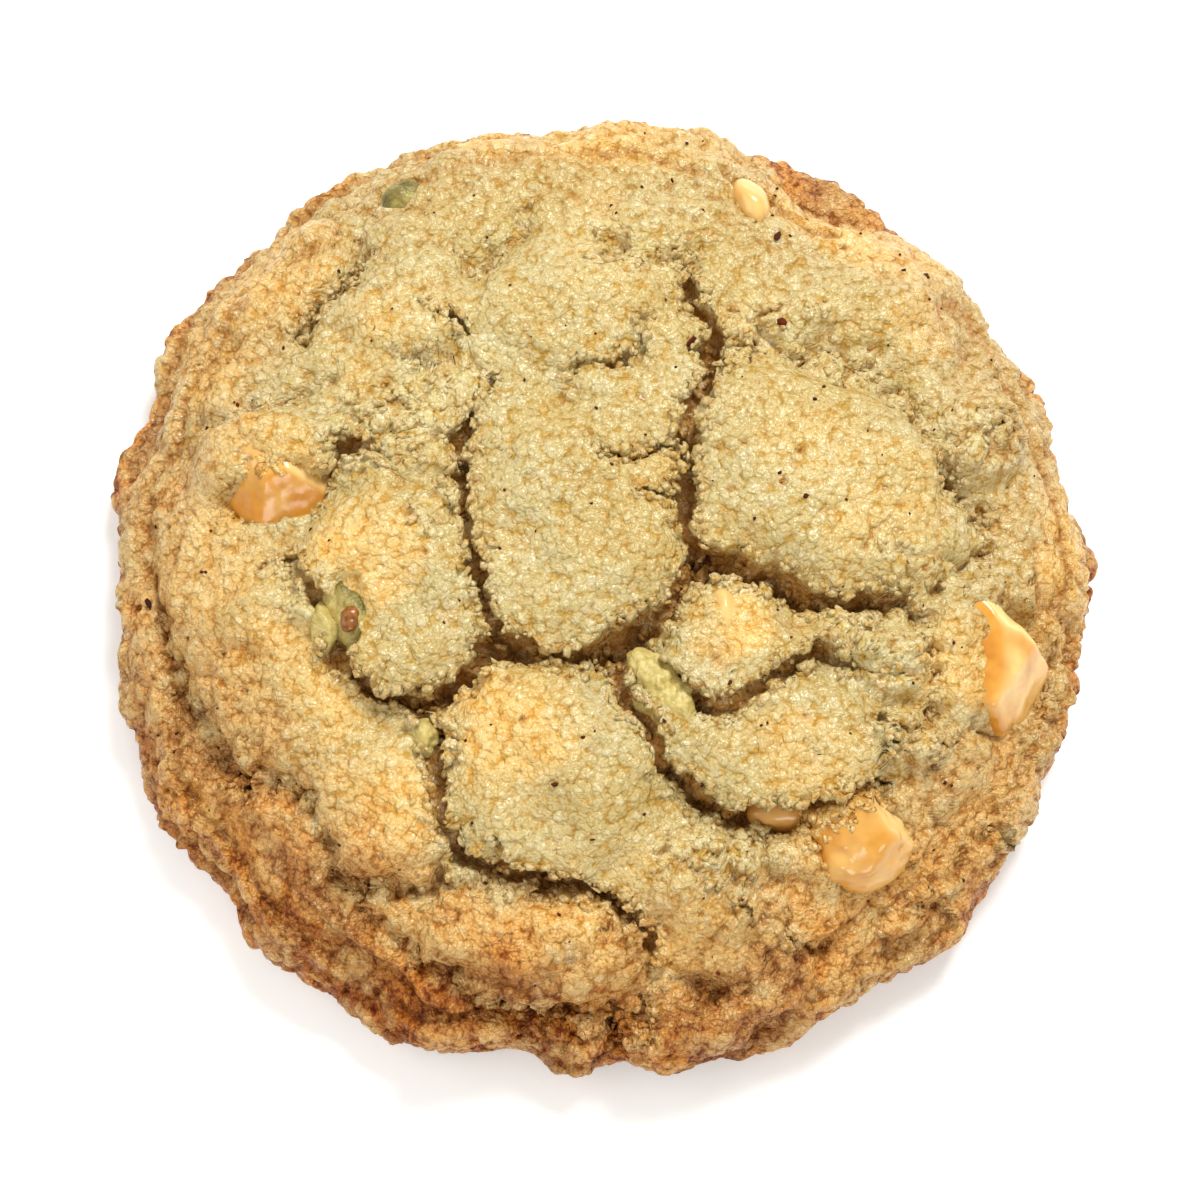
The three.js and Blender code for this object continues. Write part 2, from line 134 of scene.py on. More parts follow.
def lattice(place, seed):
    """A fixed random number from 0 to 1 for each whole-number place: multiply, fold and mix its bits."""
    mixed = place[..., 0] * 374761393 + place[..., 1] * 668265263 + place[..., 2] * 1440662683
    mixed = (mixed + seed * 974634777) & 0xFFFFFFFF
    mixed = ((mixed ^ (mixed >> 13)) * 1274126177) & 0xFFFFFFFF
    mixed = mixed ^ (mixed >> 16)
    return mixed / 0xFFFFFFFF


def noise(points, size, seed):
    """Smooth noise from -1 to 1: the lattice's numbers, one to a cell corner, blended by eased distance."""
    scaled = points / size
    cell = np.floor(scaled).astype(np.int64)
    part = scaled - cell
    part = part * part * (3 - 2 * part)
    total = np.zeros(len(points))
    for corner in np.ndindex(2, 2, 2):
        weight = np.prod(np.where(corner, part, 1 - part), axis=1)
        total += weight * lattice(cell + np.array(corner), seed)
    return total * 2 - 1


def grains(points, size, seed):
    """Distance to the nearest and to the next grain, in cell sizes, with one grain scattered in each cell,
    and a random number from 0 to 1 that belongs to the nearest."""
    scaled = points / size
    cell = np.floor(scaled).astype(np.int64)
    near = np.full(len(points), 9.0)
    after = np.full(len(points), 9.0)
    own = np.zeros(len(points))
    for step in np.ndindex(3, 3, 3):
        neighbour = cell + np.array(step) - 1
        centre = np.stack([lattice(neighbour, seed + k) for k in range(3)], axis=1)
        distance = np.linalg.norm(neighbour + centre - scaled, axis=1)
        own = np.where(distance < near, lattice(neighbour, seed + 3), own)
        after = np.minimum(after, np.maximum(near, distance))
        near = np.minimum(near, distance)
    return near, after, own


# %% [markdown]
# ## The form of the dough
# The dome, the foot, the plates, the furrows and the cracks have the solid's own formulas and sizes, in
# millimetres. A lobe of the outline has an angle, a spread and a swelling. The dome's lobes change the
# upper part only, and the foot's the lower.

# %% The dome and its outline
RIM_RADIUS = 44.5
CROWN_HEIGHT = 17.2
RIM_HEIGHT = 3.4
FOOT_TUCK = 1.4
CROWN_FULLNESS = 2.4
WALL_FULLNESS = 2.0
LEDGE_LOW = 2.8
LEDGE_HIGH = 6.4
SWELL = 0.32

ALL_LOBES = [
    (36, 14, -1.2), (71, 3, -1), (90, 13, 0.2), (120, 16, 1), (176, 5, -0.8), (195, 8, -0.5),
    (228, 14, -0.3), (243, 4, -0.4), (250, 6, 0.6), (260, 3, -0.6), (266, 4, 0.5), (273, 3, -0.9),
    (284, 8, 0.2), (297, 6, -0.4), (320, 9, -0.8), (336, 4, -1.2),
]
FOOT_LOBES = [(62, 6, 0.7), (147, 8, 2), (166, 5, 1.2)]
DOME_LOBES = [(60, 9, -4.2), (3, 11, -2), (22, 5, -1.4), (146, 9, -0.6), (168, 8, -1.6), (215, 22, -1)]


def lobe_sum(lobes, angle):
    """Sum of bell-shaped swellings round the outline, at angles in degrees."""
    total = np.zeros_like(angle)
    for centre, spread, swell in lobes:
        off = (angle - centre + 540) % 360 - 180
        total += swell * np.exp(-(off / spread) ** 2)
    return total


def outline(theta, height):
    """Radius of the outline at an angle and a height: the foot's own below, the dome's own above."""
    angle = np.degrees(theta) % 360
    dome = smooth(LEDGE_LOW, LEDGE_HIGH, height)
    ripple = 0.22 * np.sin(9 * theta + 1) + 0.16 * np.sin(17 * theta + 2.1)
    own = dome * lobe_sum(DOME_LOBES, angle) + (1 - dome) * lobe_sum(FOOT_LOBES, angle)
    return RIM_RADIUS + ripple + lobe_sum(ALL_LOBES, angle) + own


def dome_height(share):
    """Height over a radius given as a share of the outline: a fuller ellipse standing on the rim line."""
    inside = np.clip(1 - np.clip(share, 0, 1) ** CROWN_FULLNESS, 0, 1)
    return RIM_HEIGHT + (CROWN_HEIGHT - RIM_HEIGHT) * inside ** (1 / WALL_FULLNESS)


PROFILE_STEPS = 400
TUCK_STEPS = 40
over = np.sin(np.linspace(0, np.pi / 2, PROFILE_STEPS))
under = np.linspace(0, 1, TUCK_STEPS)[1:]
PROFILE_SHARE = np.concatenate([over, 1 - FOOT_TUCK / RIM_RADIUS * under ** 2])
PROFILE_RISE = np.concatenate([dome_height(over), RIM_HEIGHT * (1 - under)])
runs = np.hypot(np.diff(PROFILE_SHARE) * RIM_RADIUS, np.diff(PROFILE_RISE))
PROFILE_RUN = float(runs.sum())
PROFILE_LENGTH = np.concatenate([[0], np.cumsum(runs)])
PROFILE_LENGTH /= PROFILE_LENGTH[-1]

# %% [markdown]
# ## Plates, furrows and cracks
# Each plate or lump is a turned ellipse: its place, two half sizes, a turn in degrees and a height.
# Furrows, cracks and slits are paths, and each of their points has a place, a half width and a depth.

# %% Their places and sizes
MOUNDS = [
    (-2, 1, 10, 11, 0, 1.2), (-3, 23.5, 9.5, 7.5, -10, 1), (20.5, 6.2, 15, 10.2, -24, 2.3),
    (20, 26, 11.5, 7, -12, 1.1), (29, 21.5, 5, 4.5, 0, 0.9), (34, 11, 4.8, 4.8, 0, 1.9),
    (40, 0, 3.6, 11, 6, 0.6), (11.8, -8.6, 7.6, 7, -20, 0.9), (21.6, -8, 3.4, 2.6, -20, 1.6),
    (25.6, -10.3, 3.4, 3.4, 0, 1.6), (27, -17, 3.8, 3, 10, 1.5), (16, -17.9, 10.4, 6.4, 8, 1.7),
    (-3.6, -20, 10.6, 10.2, 0, 1.5), (-19, -4, 8.6, 10.8, 12, 1.7), (-18, 9.5, 6, 4, 0, 0.9),
    (-30, 9, 6.6, 5.2, 0, 1.6), (31.5, -10, 5.4, 6.4, 0, 1.5), (22, -25.6, 6, 5.2, 20, 1),
    (-30, 27, 8, 6.5, 40, 0.9), (-17, 22.5, 6.4, 5.4, 0, 0.9), (-28, -11, 10, 8, -20, 0.8),
    (-20, -22.5, 7.4, 7, -30, 1.1), (-3, -35.5, 8, 5, 0, 1), (9.5, -30.5, 7, 4, -10, 0.9),
    (-16, 37, 6, 3, 10, 0.7),
]
FURROWS = [
    [(-14.5, 29, 1.4, 1), (-11, 26.3, 1.6, 1.8), (-8.3, 29.6, 1.4, 1.7), (-6.4, 34.5, 1.1, 1.1)],
    [(-3, 31.5, 1.4, 1), (0, 29.5, 1.8, 2.2), (3.5, 27.8, 1.9, 2.6), (7.5, 27.8, 1.6, 2.4), (10, 28.7, 1, 1)],
    [(10.5, 18.3, 1.8, 2), (14, 19.6, 2.2, 2.2), (20.5, 18.4, 2.2, 2.2), (26.5, 15, 2, 2.3),
     (29.8, 11, 1.5, 2)],
    [(29.8, 11, 1.5, 2), (30.4, 7, 1.2, 2.6), (34.4, 4.6, 1.4, 2.2), (34.6, 0.5, 1.2, 2),
     (29.5, -3.4, 1, 1.4)],
    [(28.2, -5.5, 1, 1.8), (28.6, -11, 1, 1.8), (28.8, -14.6, 1, 1.8), (34.5, -15.6, 1, 1.2)],
    [(-38, 13, 1, 0.9), (-33.5, 12.6, 1.1, 1.4), (-28, 14.5, 1, 1.2), (-24.4, 16.2, 0.9, 1.4)],
    [(-22.2, 31, 0.9, 1.2), (-22.6, 26, 1, 2.2), (-26, 22.8, 1.2, 2.2), (-27, 20, 1, 1.6)],
    [(-21, 14.8, 1, 1.3), (-17.6, 15.2, 1, 1.4), (-13, 18.2, 1.1, 1.2)],
    [(-5, 15.2, 0.9, 0.8), (-2, 13.2, 1, 1.1), (1.4, 13.6, 0.8, 0.8)],
    [(0, 8.8, 0.8, 0.8), (2.6, 7.6, 0.9, 1.2), (7.2, 9.6, 0.8, 1.2)],
    [(-41.4, 5.5, 0.8, 0.8), (-41, -2, 0.9, 1.2), (-38.2, -11.2, 1.1, 1.9), (-35, -17, 1.2, 2.2),
     (-31, -20, 1.4, 3), (-26, -21.4, 1.1, 1.8), (-24.4, -25, 1, 2), (-22, -29.7, 1.1, 2.5),
     (-16.5, -30.3, 1, 2), (-13.4, -29.4, 0.9, 2.2)],
    [(-20.5, -32, 0.9, 1.1), (-16.5, -35.3, 1, 1.9), (-11, -39.2, 1.2, 2.6), (-5, -41, 1.1, 2.4),
     (1.7, -42, 1.5, 3)],
    [(4.6, -36.8, 0.9, 1.1), (9.5, -39, 1.1, 1.9), (15.5, -38, 0.9, 1.3)],
    [(16.4, -33.3, 0.8, 1.4), (20, -35.3, 1, 1.8)],
    [(24.6, -32.6, 0.8, 1), (28, -31.4, 0.9, 1.5), (31.3, -29, 0.8, 1)],
]
CRACKS = [
    [(7.2, 27, 0.5, 2), (8.4, 24, 0.9, 4), (9.9, 20.5, 0.9, 5), (9.9, 16.8, 1, 5), (8.1, 13, 1, 4.5),
     (8, 8.6, 0.8, 3.6), (7.6, 4.5, 1, 5), (7.8, 1.6, 1.1, 6), (8.8, -0.9, 1.2, 6), (14, -2.7, 1, 4.6),
     (18.4, -4.7, 1.3, 5.4), (22, -5.4, 0.9, 4.6), (26.4, -4.4, 0.8, 3.2)],
    [(9.6, -1.2, 1, 5), (6.6, -4, 0.8, 4.2), (4.6, -7, 1.2, 5), (1.3, -10.1, 1.5, 6),
     (-3.6, -10.4, 0.9, 4), (-9.8, -8.9, 1.4, 6), (-11.2, -11.8, 1.1, 5), (-15.2, -14.3, 1.2, 5.5),
     (-19, -13.7, 0.9, 4.6), (-21.9, -10.8, 1, 5), (-22.4, -7.6, 1.4, 5), (-25.6, -4.2, 1, 3),
     (-27.3, -1, 0.6, 1.6)],
    [(-10.4, 13.6, 0.5, 2), (-12.8, 9.6, 0.9, 4), (-12.8, 6, 0.9, 4), (-10.9, 1.8, 0.7, 2.8),
     (-10.4, -4.6, 0.8, 4.2), (-9.6, -9.6, 1.2, 5.4)],
    [(-19.6, 9.4, 0.6, 2.5), (-22.9, 9.9, 1, 4), (-24.1, 7.2, 0.9, 3.6), (-25.8, 5, 0.8, 3)],
    [(-14.6, -13.4, 1, 4.6), (-14.3, -18.6, 0.8, 3.2), (-14.3, -22.4, 1, 3.6), (-12.6, -27.4, 0.9, 4),
     (-7.5, -28.9, 1, 4.4), (-2.3, -30.1, 1, 4.5), (2.6, -32.4, 0.9, 3.6), (5.2, -36.2, 0.6, 2)],
    [(1.4, -9.4, 1.2, 5), (2, -13.4, 0.8, 4), (4.6, -16.9, 1.1, 4.4), (5.6, -20, 0.9, 4.4),
     (8.6, -22.8, 0.9, 3.8), (12.4, -24, 1.3, 5), (16.8, -24.6, 1.3, 5), (20.6, -22.4, 0.9, 4.2),
     (25, -21, 0.6, 2.4)],
    [(5.2, -10.8, 0.7, 3.4), (8.2, -14.3, 0.8, 3.8), (12, -14.8, 0.8, 3.2), (16.4, -11.4, 0.7, 2.8),
     (18.6, -9.7, 1, 3.6), (22, -10.6, 0.5, 1.8)],
]
SLITS = [
    [(-2.2, 16.6, 0.4, 0.8), (0.5, 17.2, 0.5, 1.4), (3, 17.5, 0.5, 1.2), (4, 21.5, 0.4, 0.8)],
    [(0, 8.8, 0.4, 0.8), (1, 7.6, 0.5, 1.6), (4, 8.1, 0.5, 1.4), (7.4, 9.7, 0.4, 1)],
    [(3.3, 4.4, 0.3, 0.7), (5, 4.4, 0.5, 1.2), (7.2, 4, 0.4, 1)],
    [(-22.5, 27.4, 0.3, 1), (-22.8, 25.8, 0.6, 3), (-24.2, 23.9, 0.5, 2.4), (-26, 22.9, 0.6, 2.4),
     (-27.3, 21.4, 0.4, 1.4)],
    [(-14.4, 21.7, 0.4, 1.4), (-13.2, 20.8, 0.6, 2.6), (-12, 19.8, 0.4, 1.4)],
    [(24.6, -15.4, 0.3, 1.2), (25, -17, 0.5, 2.2), (25.2, -18.6, 0.3, 1.2)],
    [(29.2, 8.4, 0.4, 1.6), (30.6, 6.6, 0.8, 3.2), (32.6, 5, 0.6, 2.2)],
    [(12.4, -31.2, 0.4, 1.2), (13.2, -32, 0.4, 1.2)], [(16, -33.2, 0.4, 1.4), (17, -33.6, 0.4, 1.2)],
    [(-9.4, -25.6, 0.4, 1.2), (-9, -26.4, 0.4, 1.2)], [(4, -39.2, 0.4, 1.6), (4, -40.6, 0.5, 1.6)],
    [(-32.4, -19.4, 0.5, 1.8), (-31, -20.2, 0.6, 2.2)], [(35, -23.2, 0.5, 1.8), (36, -24.4, 0.5, 1.8)],
    [(-10.5, 16, 0.5, 1.6), (-9.6, 14.6, 0.5, 1.8)], [(1.2, -41.6, 0.9, 2.6), (2.4, -42.4, 0.9, 2.6)],
]


# %% Plates and furrows as formulas
def patch(x, y, spot):
    """1 inside a turned ellipse, rounded down to 0 at its edge. The ellipse is x, y, half sizes, turn."""
    cx, cy, long, wide, turn = spot
    c, s = math.cos(math.radians(turn)), math.sin(math.radians(turn))
    u = ((x - cx) * c + (y - cy) * s) / long
    v = ((y - cy) * c - (x - cx) * s) / wide
    return (1 - np.minimum(1, u * u + v * v) ** 3) ** 2


def strongest(x, y, spots):
    """The most that any of the ellipses gives at each place. Each has its strength last."""
    return np.max([spot[5] * patch(x, y, spot[:5]) for spot in spots], axis=0)


def nearest(x, y, start, end):
    """Offset from the nearest point of a stretch, with its half width and depth there."""
    ax, ay, aw, ad = start
    bx, by, bw, bd = end
    part = np.clip(((x - ax) * (bx - ax) + (y - ay) * (by - ay)) / ((bx - ax) ** 2 + (by - ay) ** 2), 0, 1)
    return x - ax - (bx - ax) * part, y - ay - (by - ay) * part, aw + (bw - aw) * part, ad + (bd - ad) * part


def furrow_depth(x, y, narrow=1.0):
    """Depth of all furrows: each is a bell across its path, and the deepest of its stretches counts.
    A narrow of less than 1 gives the crease at the bottom of each."""
    total = np.zeros_like(x)
    for path in FURROWS:
        deepest = np.zeros_like(x)
        for start, end in zip(path[:-1], path[1:]):
            dx, dy, half, depth = nearest(x, y, start, end)
            deepest = np.maximum(deepest, depth * np.exp(-(dx ** 2 + dy ** 2) / (narrow * half) ** 2))
        total += deepest
    return total


def plain_lift(x, y):
    """How far the crust stands off the dome before any furrow: slow swells, plus the plates."""
    lift = SWELL * (np.sin(0.31 * x + 1.3) * np.cos(0.27 * y - 0.6) + np.sin(0.21 * x - 0.43 * y))
    for mound in MOUNDS:
        lift = lift + mound[5] * patch(x, y, mound[:5])
    return lift


def crust_height(x, y):
    """Height of the crust over one place in plan."""
    x, y = np.array([float(x)]), np.array([float(y)])
    share = np.hypot(x, y) / outline(np.arctan2(y, x), np.full_like(x, CROWN_HEIGHT))
    return float((dome_height(share) + plain_lift(x, y) - furrow_depth(x, y))[0])


# %% [markdown]
# ## How a crack looks
# A crack in baked dough has torn, crumbly lips, walls that lean back under the crust, and a floor in
# shade; the dough's finish also paints that shade into its colour.
# A boolean would leave clean walls. Here the grid itself is pulled down inside a strip round the crack's
# path. Noise bends the path, so its lips are ragged, and the points also move sideways to overhang.

# %% The crack field
CRACK_CLOSING = 0.74
FAR_AWAY = 99


def crack_field(x, y):
    """For each place: offset over half width to the nearest crack, half width, depth and way outward."""
    found = np.zeros((5, len(x)))
    found[0] = FAR_AWAY
    found[1] = 1
    for path in CRACKS + SLITS:
        for start, end in zip(path[:-1], path[1:]):
            dx, dy, half, depth = nearest(x, y, start, end)
            half = half * CRACK_CLOSING
            off = np.hypot(dx, dy)
            here = np.stack([off / half, half, depth, dx / np.maximum(off, 1e-6), dy / np.maximum(off, 1e-6)])
            found = np.where(here[0] < found[0], here, found)
    return found


# %% [markdown]
# ## The dough's surface
# The crust is a square grid of points wrapped on to the cookie, so that its rings run round the rim and
# down to the underside. Its points crowd towards the cracks, where the form is finest. The underside is a
# set of shrinking rings.

# %% The grid
CRUST_CELLS = 300
UNDER_RINGS = 4
CROWDING = 0.5
CROWDING_REACH = 3.2
STEP = 0.004

side = np.linspace(-1, 1, CRUST_CELLS + 1)
v_grid, u_grid = np.meshgrid(side, side, indexing="ij")
u_flat, v_flat = u_grid.ravel(), v_grid.ravel()
distance = np.maximum(np.abs(u_flat), np.abs(v_flat))
wide = np.abs(u_flat) >= np.abs(v_flat)
safe_u = np.where(u_flat == 0, 1, u_flat)
safe_v = np.where(v_flat == 0, 1, v_flat)
theta = np.where(wide, v_flat / safe_u * np.pi / 4 + np.where(u_flat < 0, np.pi, 0),
                 np.pi / 2 - u_flat / safe_v * np.pi / 4 + np.where(v_flat < 0, np.pi, 0))

share = np.interp(distance, PROFILE_LENGTH, PROFILE_SHARE)
rise = np.interp(distance, PROFILE_LENGTH, PROFILE_RISE)
behind, ahead = distance - STEP, distance + STEP
run = np.interp(ahead, PROFILE_LENGTH, PROFILE_SHARE) - np.interp(behind, PROFILE_LENGTH, PROFILE_SHARE)
drop = np.interp(behind, PROFILE_LENGTH, PROFILE_RISE) - np.interp(ahead, PROFILE_LENGTH, PROFILE_RISE)
run *= RIM_RADIUS
stride = np.hypot(run, drop)
radius = share * outline(theta, rise)
x = radius * np.cos(theta)
y = radius * np.sin(theta)

crack, half, depth, away_x, away_y = crack_field(x, y)
pull = CROWDING * smooth(0.94, 0.86, share) * crack * half * np.exp(-(crack * half / CROWDING_REACH) ** 2)
moved_x, moved_y = x - away_x * pull, y - away_y * pull
top_outline = outline(theta, np.full_like(theta, CROWN_HEIGHT))
on_top = smooth(0.97, 0.9, share)
rise = rise + on_top * (dome_height(np.hypot(moved_x, moved_y) / top_outline)
                        - dome_height(np.hypot(x, y) / top_outline))
x, y = moved_x, moved_y
print("crust grid:", len(x), "points, spaced about", round(2 * PROFILE_RUN / CRUST_CELLS, 2), "mm")

# %% [markdown]
# ## Crumb
# The crust is sugar and flour grains about a millimetre across, pressed flat on the plates and loose in
# the valleys and along the lips. Two sizes of scattered cells give round tops with gaps between them.
# Pits are cells chosen by chance. Loose and bare places are ellipses, as the plates are, and end in the
# strength of the loosening, or in how far the dough sinks round a bare chunk.

# %% Loose and bare places
LOOSE = [
    (-18, 11, 8, 5, 0, 1), (-14, 16.5, 6, 3, 10, 0.9), (21.8, -7.6, 3.4, 2.8, -20, 1),
    (25.8, -10, 3.4, 3.6, 0, 1), (27.5, -17, 5, 3.2, 10, 1), (-14.5, 2, 3, 3.6, 0, 0.8),
    (17, 22, 6, 3, 0, 0.7), (34, 11, 4, 4, 0, 0.9), (10, -27.5, 7, 3, -10, 0.9), (-24.8, -4.6, 3, 2.4, 0, 1),
    (-14, -17.5, 3, 3, 0, 1), (-11, -29, 5, 2.4, -20, 1), (3, 27.5, 5, 3, 0, 0.8),
    (26, -0.5, 6, 2, -24, 0.6), (12, -3, 6, 1.8, -10, 0.7),
]
BARE = [
    (37.9, -9.6, 4, 5.9, -4, 1.4), (38.2, -5.6, 2.9, 1.3, -46, 0.9), (-28.8, 5.4, 5.4, 2.5, 14, 2),
    (22.7, -25.6, 4.9, 4.4, 20, 1.4), (13.9, 34.3, 1.6, 2.8, 12, 0.9), (-22.1, -4.9, 2, 2.3, 30, 0.9),
    (33.8, -3.6, 1.9, 1.6, 0, -1.2),
]
NUT_SPOTS = [(-22.8, -6.2, 3.2, 3.8, 0, 1), (-17.9, 34.4, 1.9, 1.6, 20, 1)]

# %% Sizes of the crumb
CLUSTER_SIZE = 2.7
LUMP_SIZE = 1.3
PIT_SIZE = 2.6
PIT_DEPTH = 0.6
JAG_WIDE = 0.75
JAG_FINE = 0.5
RAGGED = 0.62
UNDERCUT = 0.8
LEDGE_LENGTH = 9
LEDGE_THICK = 2.3
LEDGE_STEP = 0.9
SHOULDER_REACH = 2.4
SHOULDER_DROP = 1.5
CRACK_SHARE = 0.64
FURROW_SHARE = 0.62
CREASE_SHARE = 0.12

# %% Cracks with torn lips
base = np.stack([x, y, rise], axis=1)
bent_x = x + JAG_WIDE * noise(base, 2.6, 11) + JAG_FINE * noise(base, 1, 12)
bent_y = y + JAG_WIDE * noise(base, 2.6, 13) + JAG_FINE * noise(base, 1, 14)
bent = np.stack([bent_x, bent_y, rise], axis=1)
crack, half, depth, away_x, away_y = crack_field(bent_x, bent_y)
ragged = RAGGED * (noise(base, 1.7, 18) + 0.6 * noise(base, 0.8, 19))
crack = np.maximum(0, crack + ragged * smooth(0.2, 0.9, crack))
off_crack = crack * half
furrow = furrow_depth(bent_x, bent_y)
furrow_crease = furrow_depth(bent_x, bent_y, 0.3)
loose = strongest(bent_x, bent_y, LOOSE)
lip = np.exp(-((off_crack - half) / 0.9) ** 2)
loose = np.clip(np.maximum(loose, smooth(0.4, 1.8, furrow)) + 0.4 * lip, 0, 1)

inside = np.clip(crack, 0, 1)
crack_depth = CRACK_SHARE * depth * (1 - inside ** 2.6) * (1 + 0.3 * noise(base, 1.8, 15))
near_side = smooth(0.1, 0.9, -away_y)
shoulder = SHOULDER_DROP * near_side * np.exp(-(np.maximum(0, off_crack - half) / SHOULDER_REACH) ** 2)
shoulder = shoulder * smooth(1.5, 5, depth)
sideways = half * UNDERCUT * np.sin(np.pi * inside) * (0.8 + 0.5 * noise(base, 3, 16)) * (1.2 - near_side)
sideways = sideways + (crack < 1) * 0.22 * noise(base, 0.8, 17)

# %% Clusters, lumps, pits and ledges
near, after, own = grains(base + 0.55 * (bent - base), CLUSTER_SIZE, 21)
parted = smooth(-0.3, 0.3, noise(base, 6, 22) + 1.2 * (loose - 0.4))
crease = parted * smooth(0.2, 0.02, after - near)
cluster = 0.5 * (own - 0.5) + 0.75 * (0.5 - near ** 2 * 1.2) - 0.45 * crease
near, after, own = grains(bent, LUMP_SIZE, 31)
lump = 0.16 * (own - 0.5) + 0.34 * (0.5 - near ** 2 * 1.3)
near, _, own = grains(base, PIT_SIZE, 41)
pit = smooth(0.17, 0.05, near) * (own > 0.55)
wall = smooth(9, 4, rise)
calm = 1 - 0.75 * smooth(1.05, 0.7, crack)
coarse = 0.36 + 0.3 * smooth(0.5, 0.8, share) + 0.65 * loose + 0.22 * wall
fine = (0.55 + 0.15 * loose + wall) * calm
crumb = coarse * cluster + fine * lump
relief = crumb - PIT_DEPTH * pit + 0.42 * noise(base, 3.4, 52)
relief = relief + 0.5 * noise(base, 7.5, 51) * (1 - 0.7 * wall)
down_side = distance * PROFILE_RUN + 0.5 * noise(base, 4, 54)
round_rim = np.stack([theta * RIM_RADIUS / LEDGE_LENGTH, down_side / LEDGE_THICK, 0 * theta], axis=1)
ledge = noise(round_rim, 1, 53)
on_side = smooth(12.5, 9, rise)
relief = relief + LEDGE_STEP * on_side * (smooth(-0.12, 0.12, ledge) - 0.6)
# The gap under each step of a ledge, used only for painted shade.
ledge_gap = on_side * np.exp(-((ledge + 0.1) / 0.09) ** 2)

# %% The crust in its place
bare = np.zeros_like(x)
sunk = np.zeros_like(x)
for spot in BARE:
    there = patch(x + 0.5 * (bent_x - x), y + 0.5 * (bent_y - y), spot[:5])
    bare = np.maximum(bare, there)
    sunk = sunk + spot[5] * there

lift = plain_lift(x, y) - FURROW_SHARE * furrow - CREASE_SHARE * furrow_crease
lift = (lift - sunk - crack_depth - shoulder + relief) * smooth(0, RIM_HEIGHT, rise)
outward = lift * drop / stride
crust = np.stack([
    x + outward * np.cos(theta) + sideways * away_x * on_top,
    y + outward * np.sin(theta) + sideways * away_y * on_top,
    np.maximum(0, rise + lift * run / stride),
], axis=1)


# %% Hollows of the crumb
def local_mean(values, reach):
    """Mean over the grid points within a square that reaches so many points each way."""
    padded = np.pad(values.reshape(CRUST_CELLS + 1, -1), reach, mode="edge")
    window = 2 * reach + 1
    return np.lib.stride_tricks.sliding_window_view(padded, (window, window)).mean(axis=(2, 3)).ravel()


# How far each point lies below its neighbours, used only for painted shade in the hollows.
cavity = smooth(0.02, 0.42, local_mean(relief, 3) - relief)


# %% Closing the underside
def square_faces(rows, columns):
    """Two triangles for each cell of a grid."""
    a = (np.arange(rows - 1)[:, None] * columns + np.arange(columns - 1)[None, :]).ravel()
    first = np.stack([a, a + 1, a + columns + 1], axis=1)
    second = np.stack([a, a + columns + 1, a + columns], axis=1)
    return np.concatenate([first, second])


row = CRUST_CELLS + 1
edge = np.concatenate([
    np.arange(CRUST_CELLS), np.arange(CRUST_CELLS) * row + CRUST_CELLS,
    CRUST_CELLS * row + np.arange(CRUST_CELLS, 0, -1), np.arange(CRUST_CELLS, 0, -1) * row,
])
faces = [square_faces(row, row)]
points = [crust]
outer = edge
count = len(crust)
for ring in range(1, UNDER_RINGS):
    inward = crust[edge] * (1 - ring / UNDER_RINGS)
    inward[:, 2] = 0
    inner = count + np.arange(len(edge))
    points.append(inward)
    faces.append(np.stack([np.roll(outer, -1), outer, inner], axis=1))
    faces.append(np.stack([np.roll(outer, -1), inner, np.roll(inner, -1)], axis=1))
    outer = inner
    count += len(edge)
points.append(np.zeros((1, 3)))
faces.append(np.stack([np.roll(outer, -1), outer, np.full(len(outer), count)], axis=1))
dough_points = np.concatenate(points)
dough_faces = np.concatenate(faces)

# %% [markdown]
# ## What the oven did, and painted shade
# The material needs to know, at each point, how brown the crust is, how far down the side it lies, how
# much inner crumb shows and how much painted shade it gets in cracks, pits, creases and hollows. Each is
# a number stored on the mesh, and the scattered crumbs carry it too. Golden places are ellipses with a
# strength. The foot is browner and darker on its near side, the side turned from the light: part its own
# browning, part painted shade. One ledge of the far rim is brown too.

# %% Masks
GOLDEN = [
    (-8, -16, 8, 6, 0, 1), (-20.5, -0.5, 6.5, 6, 0, 1), (-3, -34.5, 9, 4.5, 0, 1),
    (-20, -24, 8, 7, -30, 0.9), (-29, -13, 9, 8, -20, 0.8), (-36, 0, 6, 9, 0, 0.7),
    (-30, 9, 6, 4.5, 0, 0.9), (-30, 27, 9, 7, 40, 0.75), (-35, 19, 6, 7, 0, 0.7), (0, 42, 20, 5, 0, 1),
    (24, 31, 12, 5, -30, 0.8), (11.5, -7, 4.6, 4.6, 0, 0.9), (31, -10, 5, 5.4, 0, 1),
    (42, 0, 4, 12, 0, 1), (20.5, -26, 6, 5, 0, 1), (22, 6, 11, 6, -24, 0.35), (9, -35, 9, 4.4, 0, 0.8),
    (-14, -32.5, 7, 4, -20, 0.9), (29, 21.5, 4, 4, 0, 0.5), (17, -18, 7, 4, 0, 0.4), (-17, 22, 5, 4, 0, 0.4),
    (34, -22, 7, 7, 0, 0.4), (25, -34, 8, 4, 30, 0.6),
]
BROWN_AND_SHADE_ANGLE = 252
FAR_LEDGE = (22.3, 36.9, 8.6, 3.1, -30)
bake = strongest(bent_x, bent_y, GOLDEN)
bake = np.clip(bake * (0.8 + 0.5 * noise(base, 3.2, 61)) + 0.25 * smooth(0.1, 0.8, noise(base, 7, 62)), 0, 1)
# The side turned from the light is browner: part the crust's own browning, part painted shade.
brown_and_shaded_side = 0.5 + 0.5 * np.cos(theta - math.radians(BROWN_AND_SHADE_ANGLE))
rim_brown_and_shade = smooth(0.6, 1.02, share + 0.06 * noise(base, 4, 65)) * (0.14 + 0.86 * brown_and_shaded_side ** 2.4)
foot = np.maximum(smooth(5 + 5.5 * brown_and_shaded_side, 1.5, rise + 2.2 * noise(base, 5, 63)), rim_brown_and_shade)
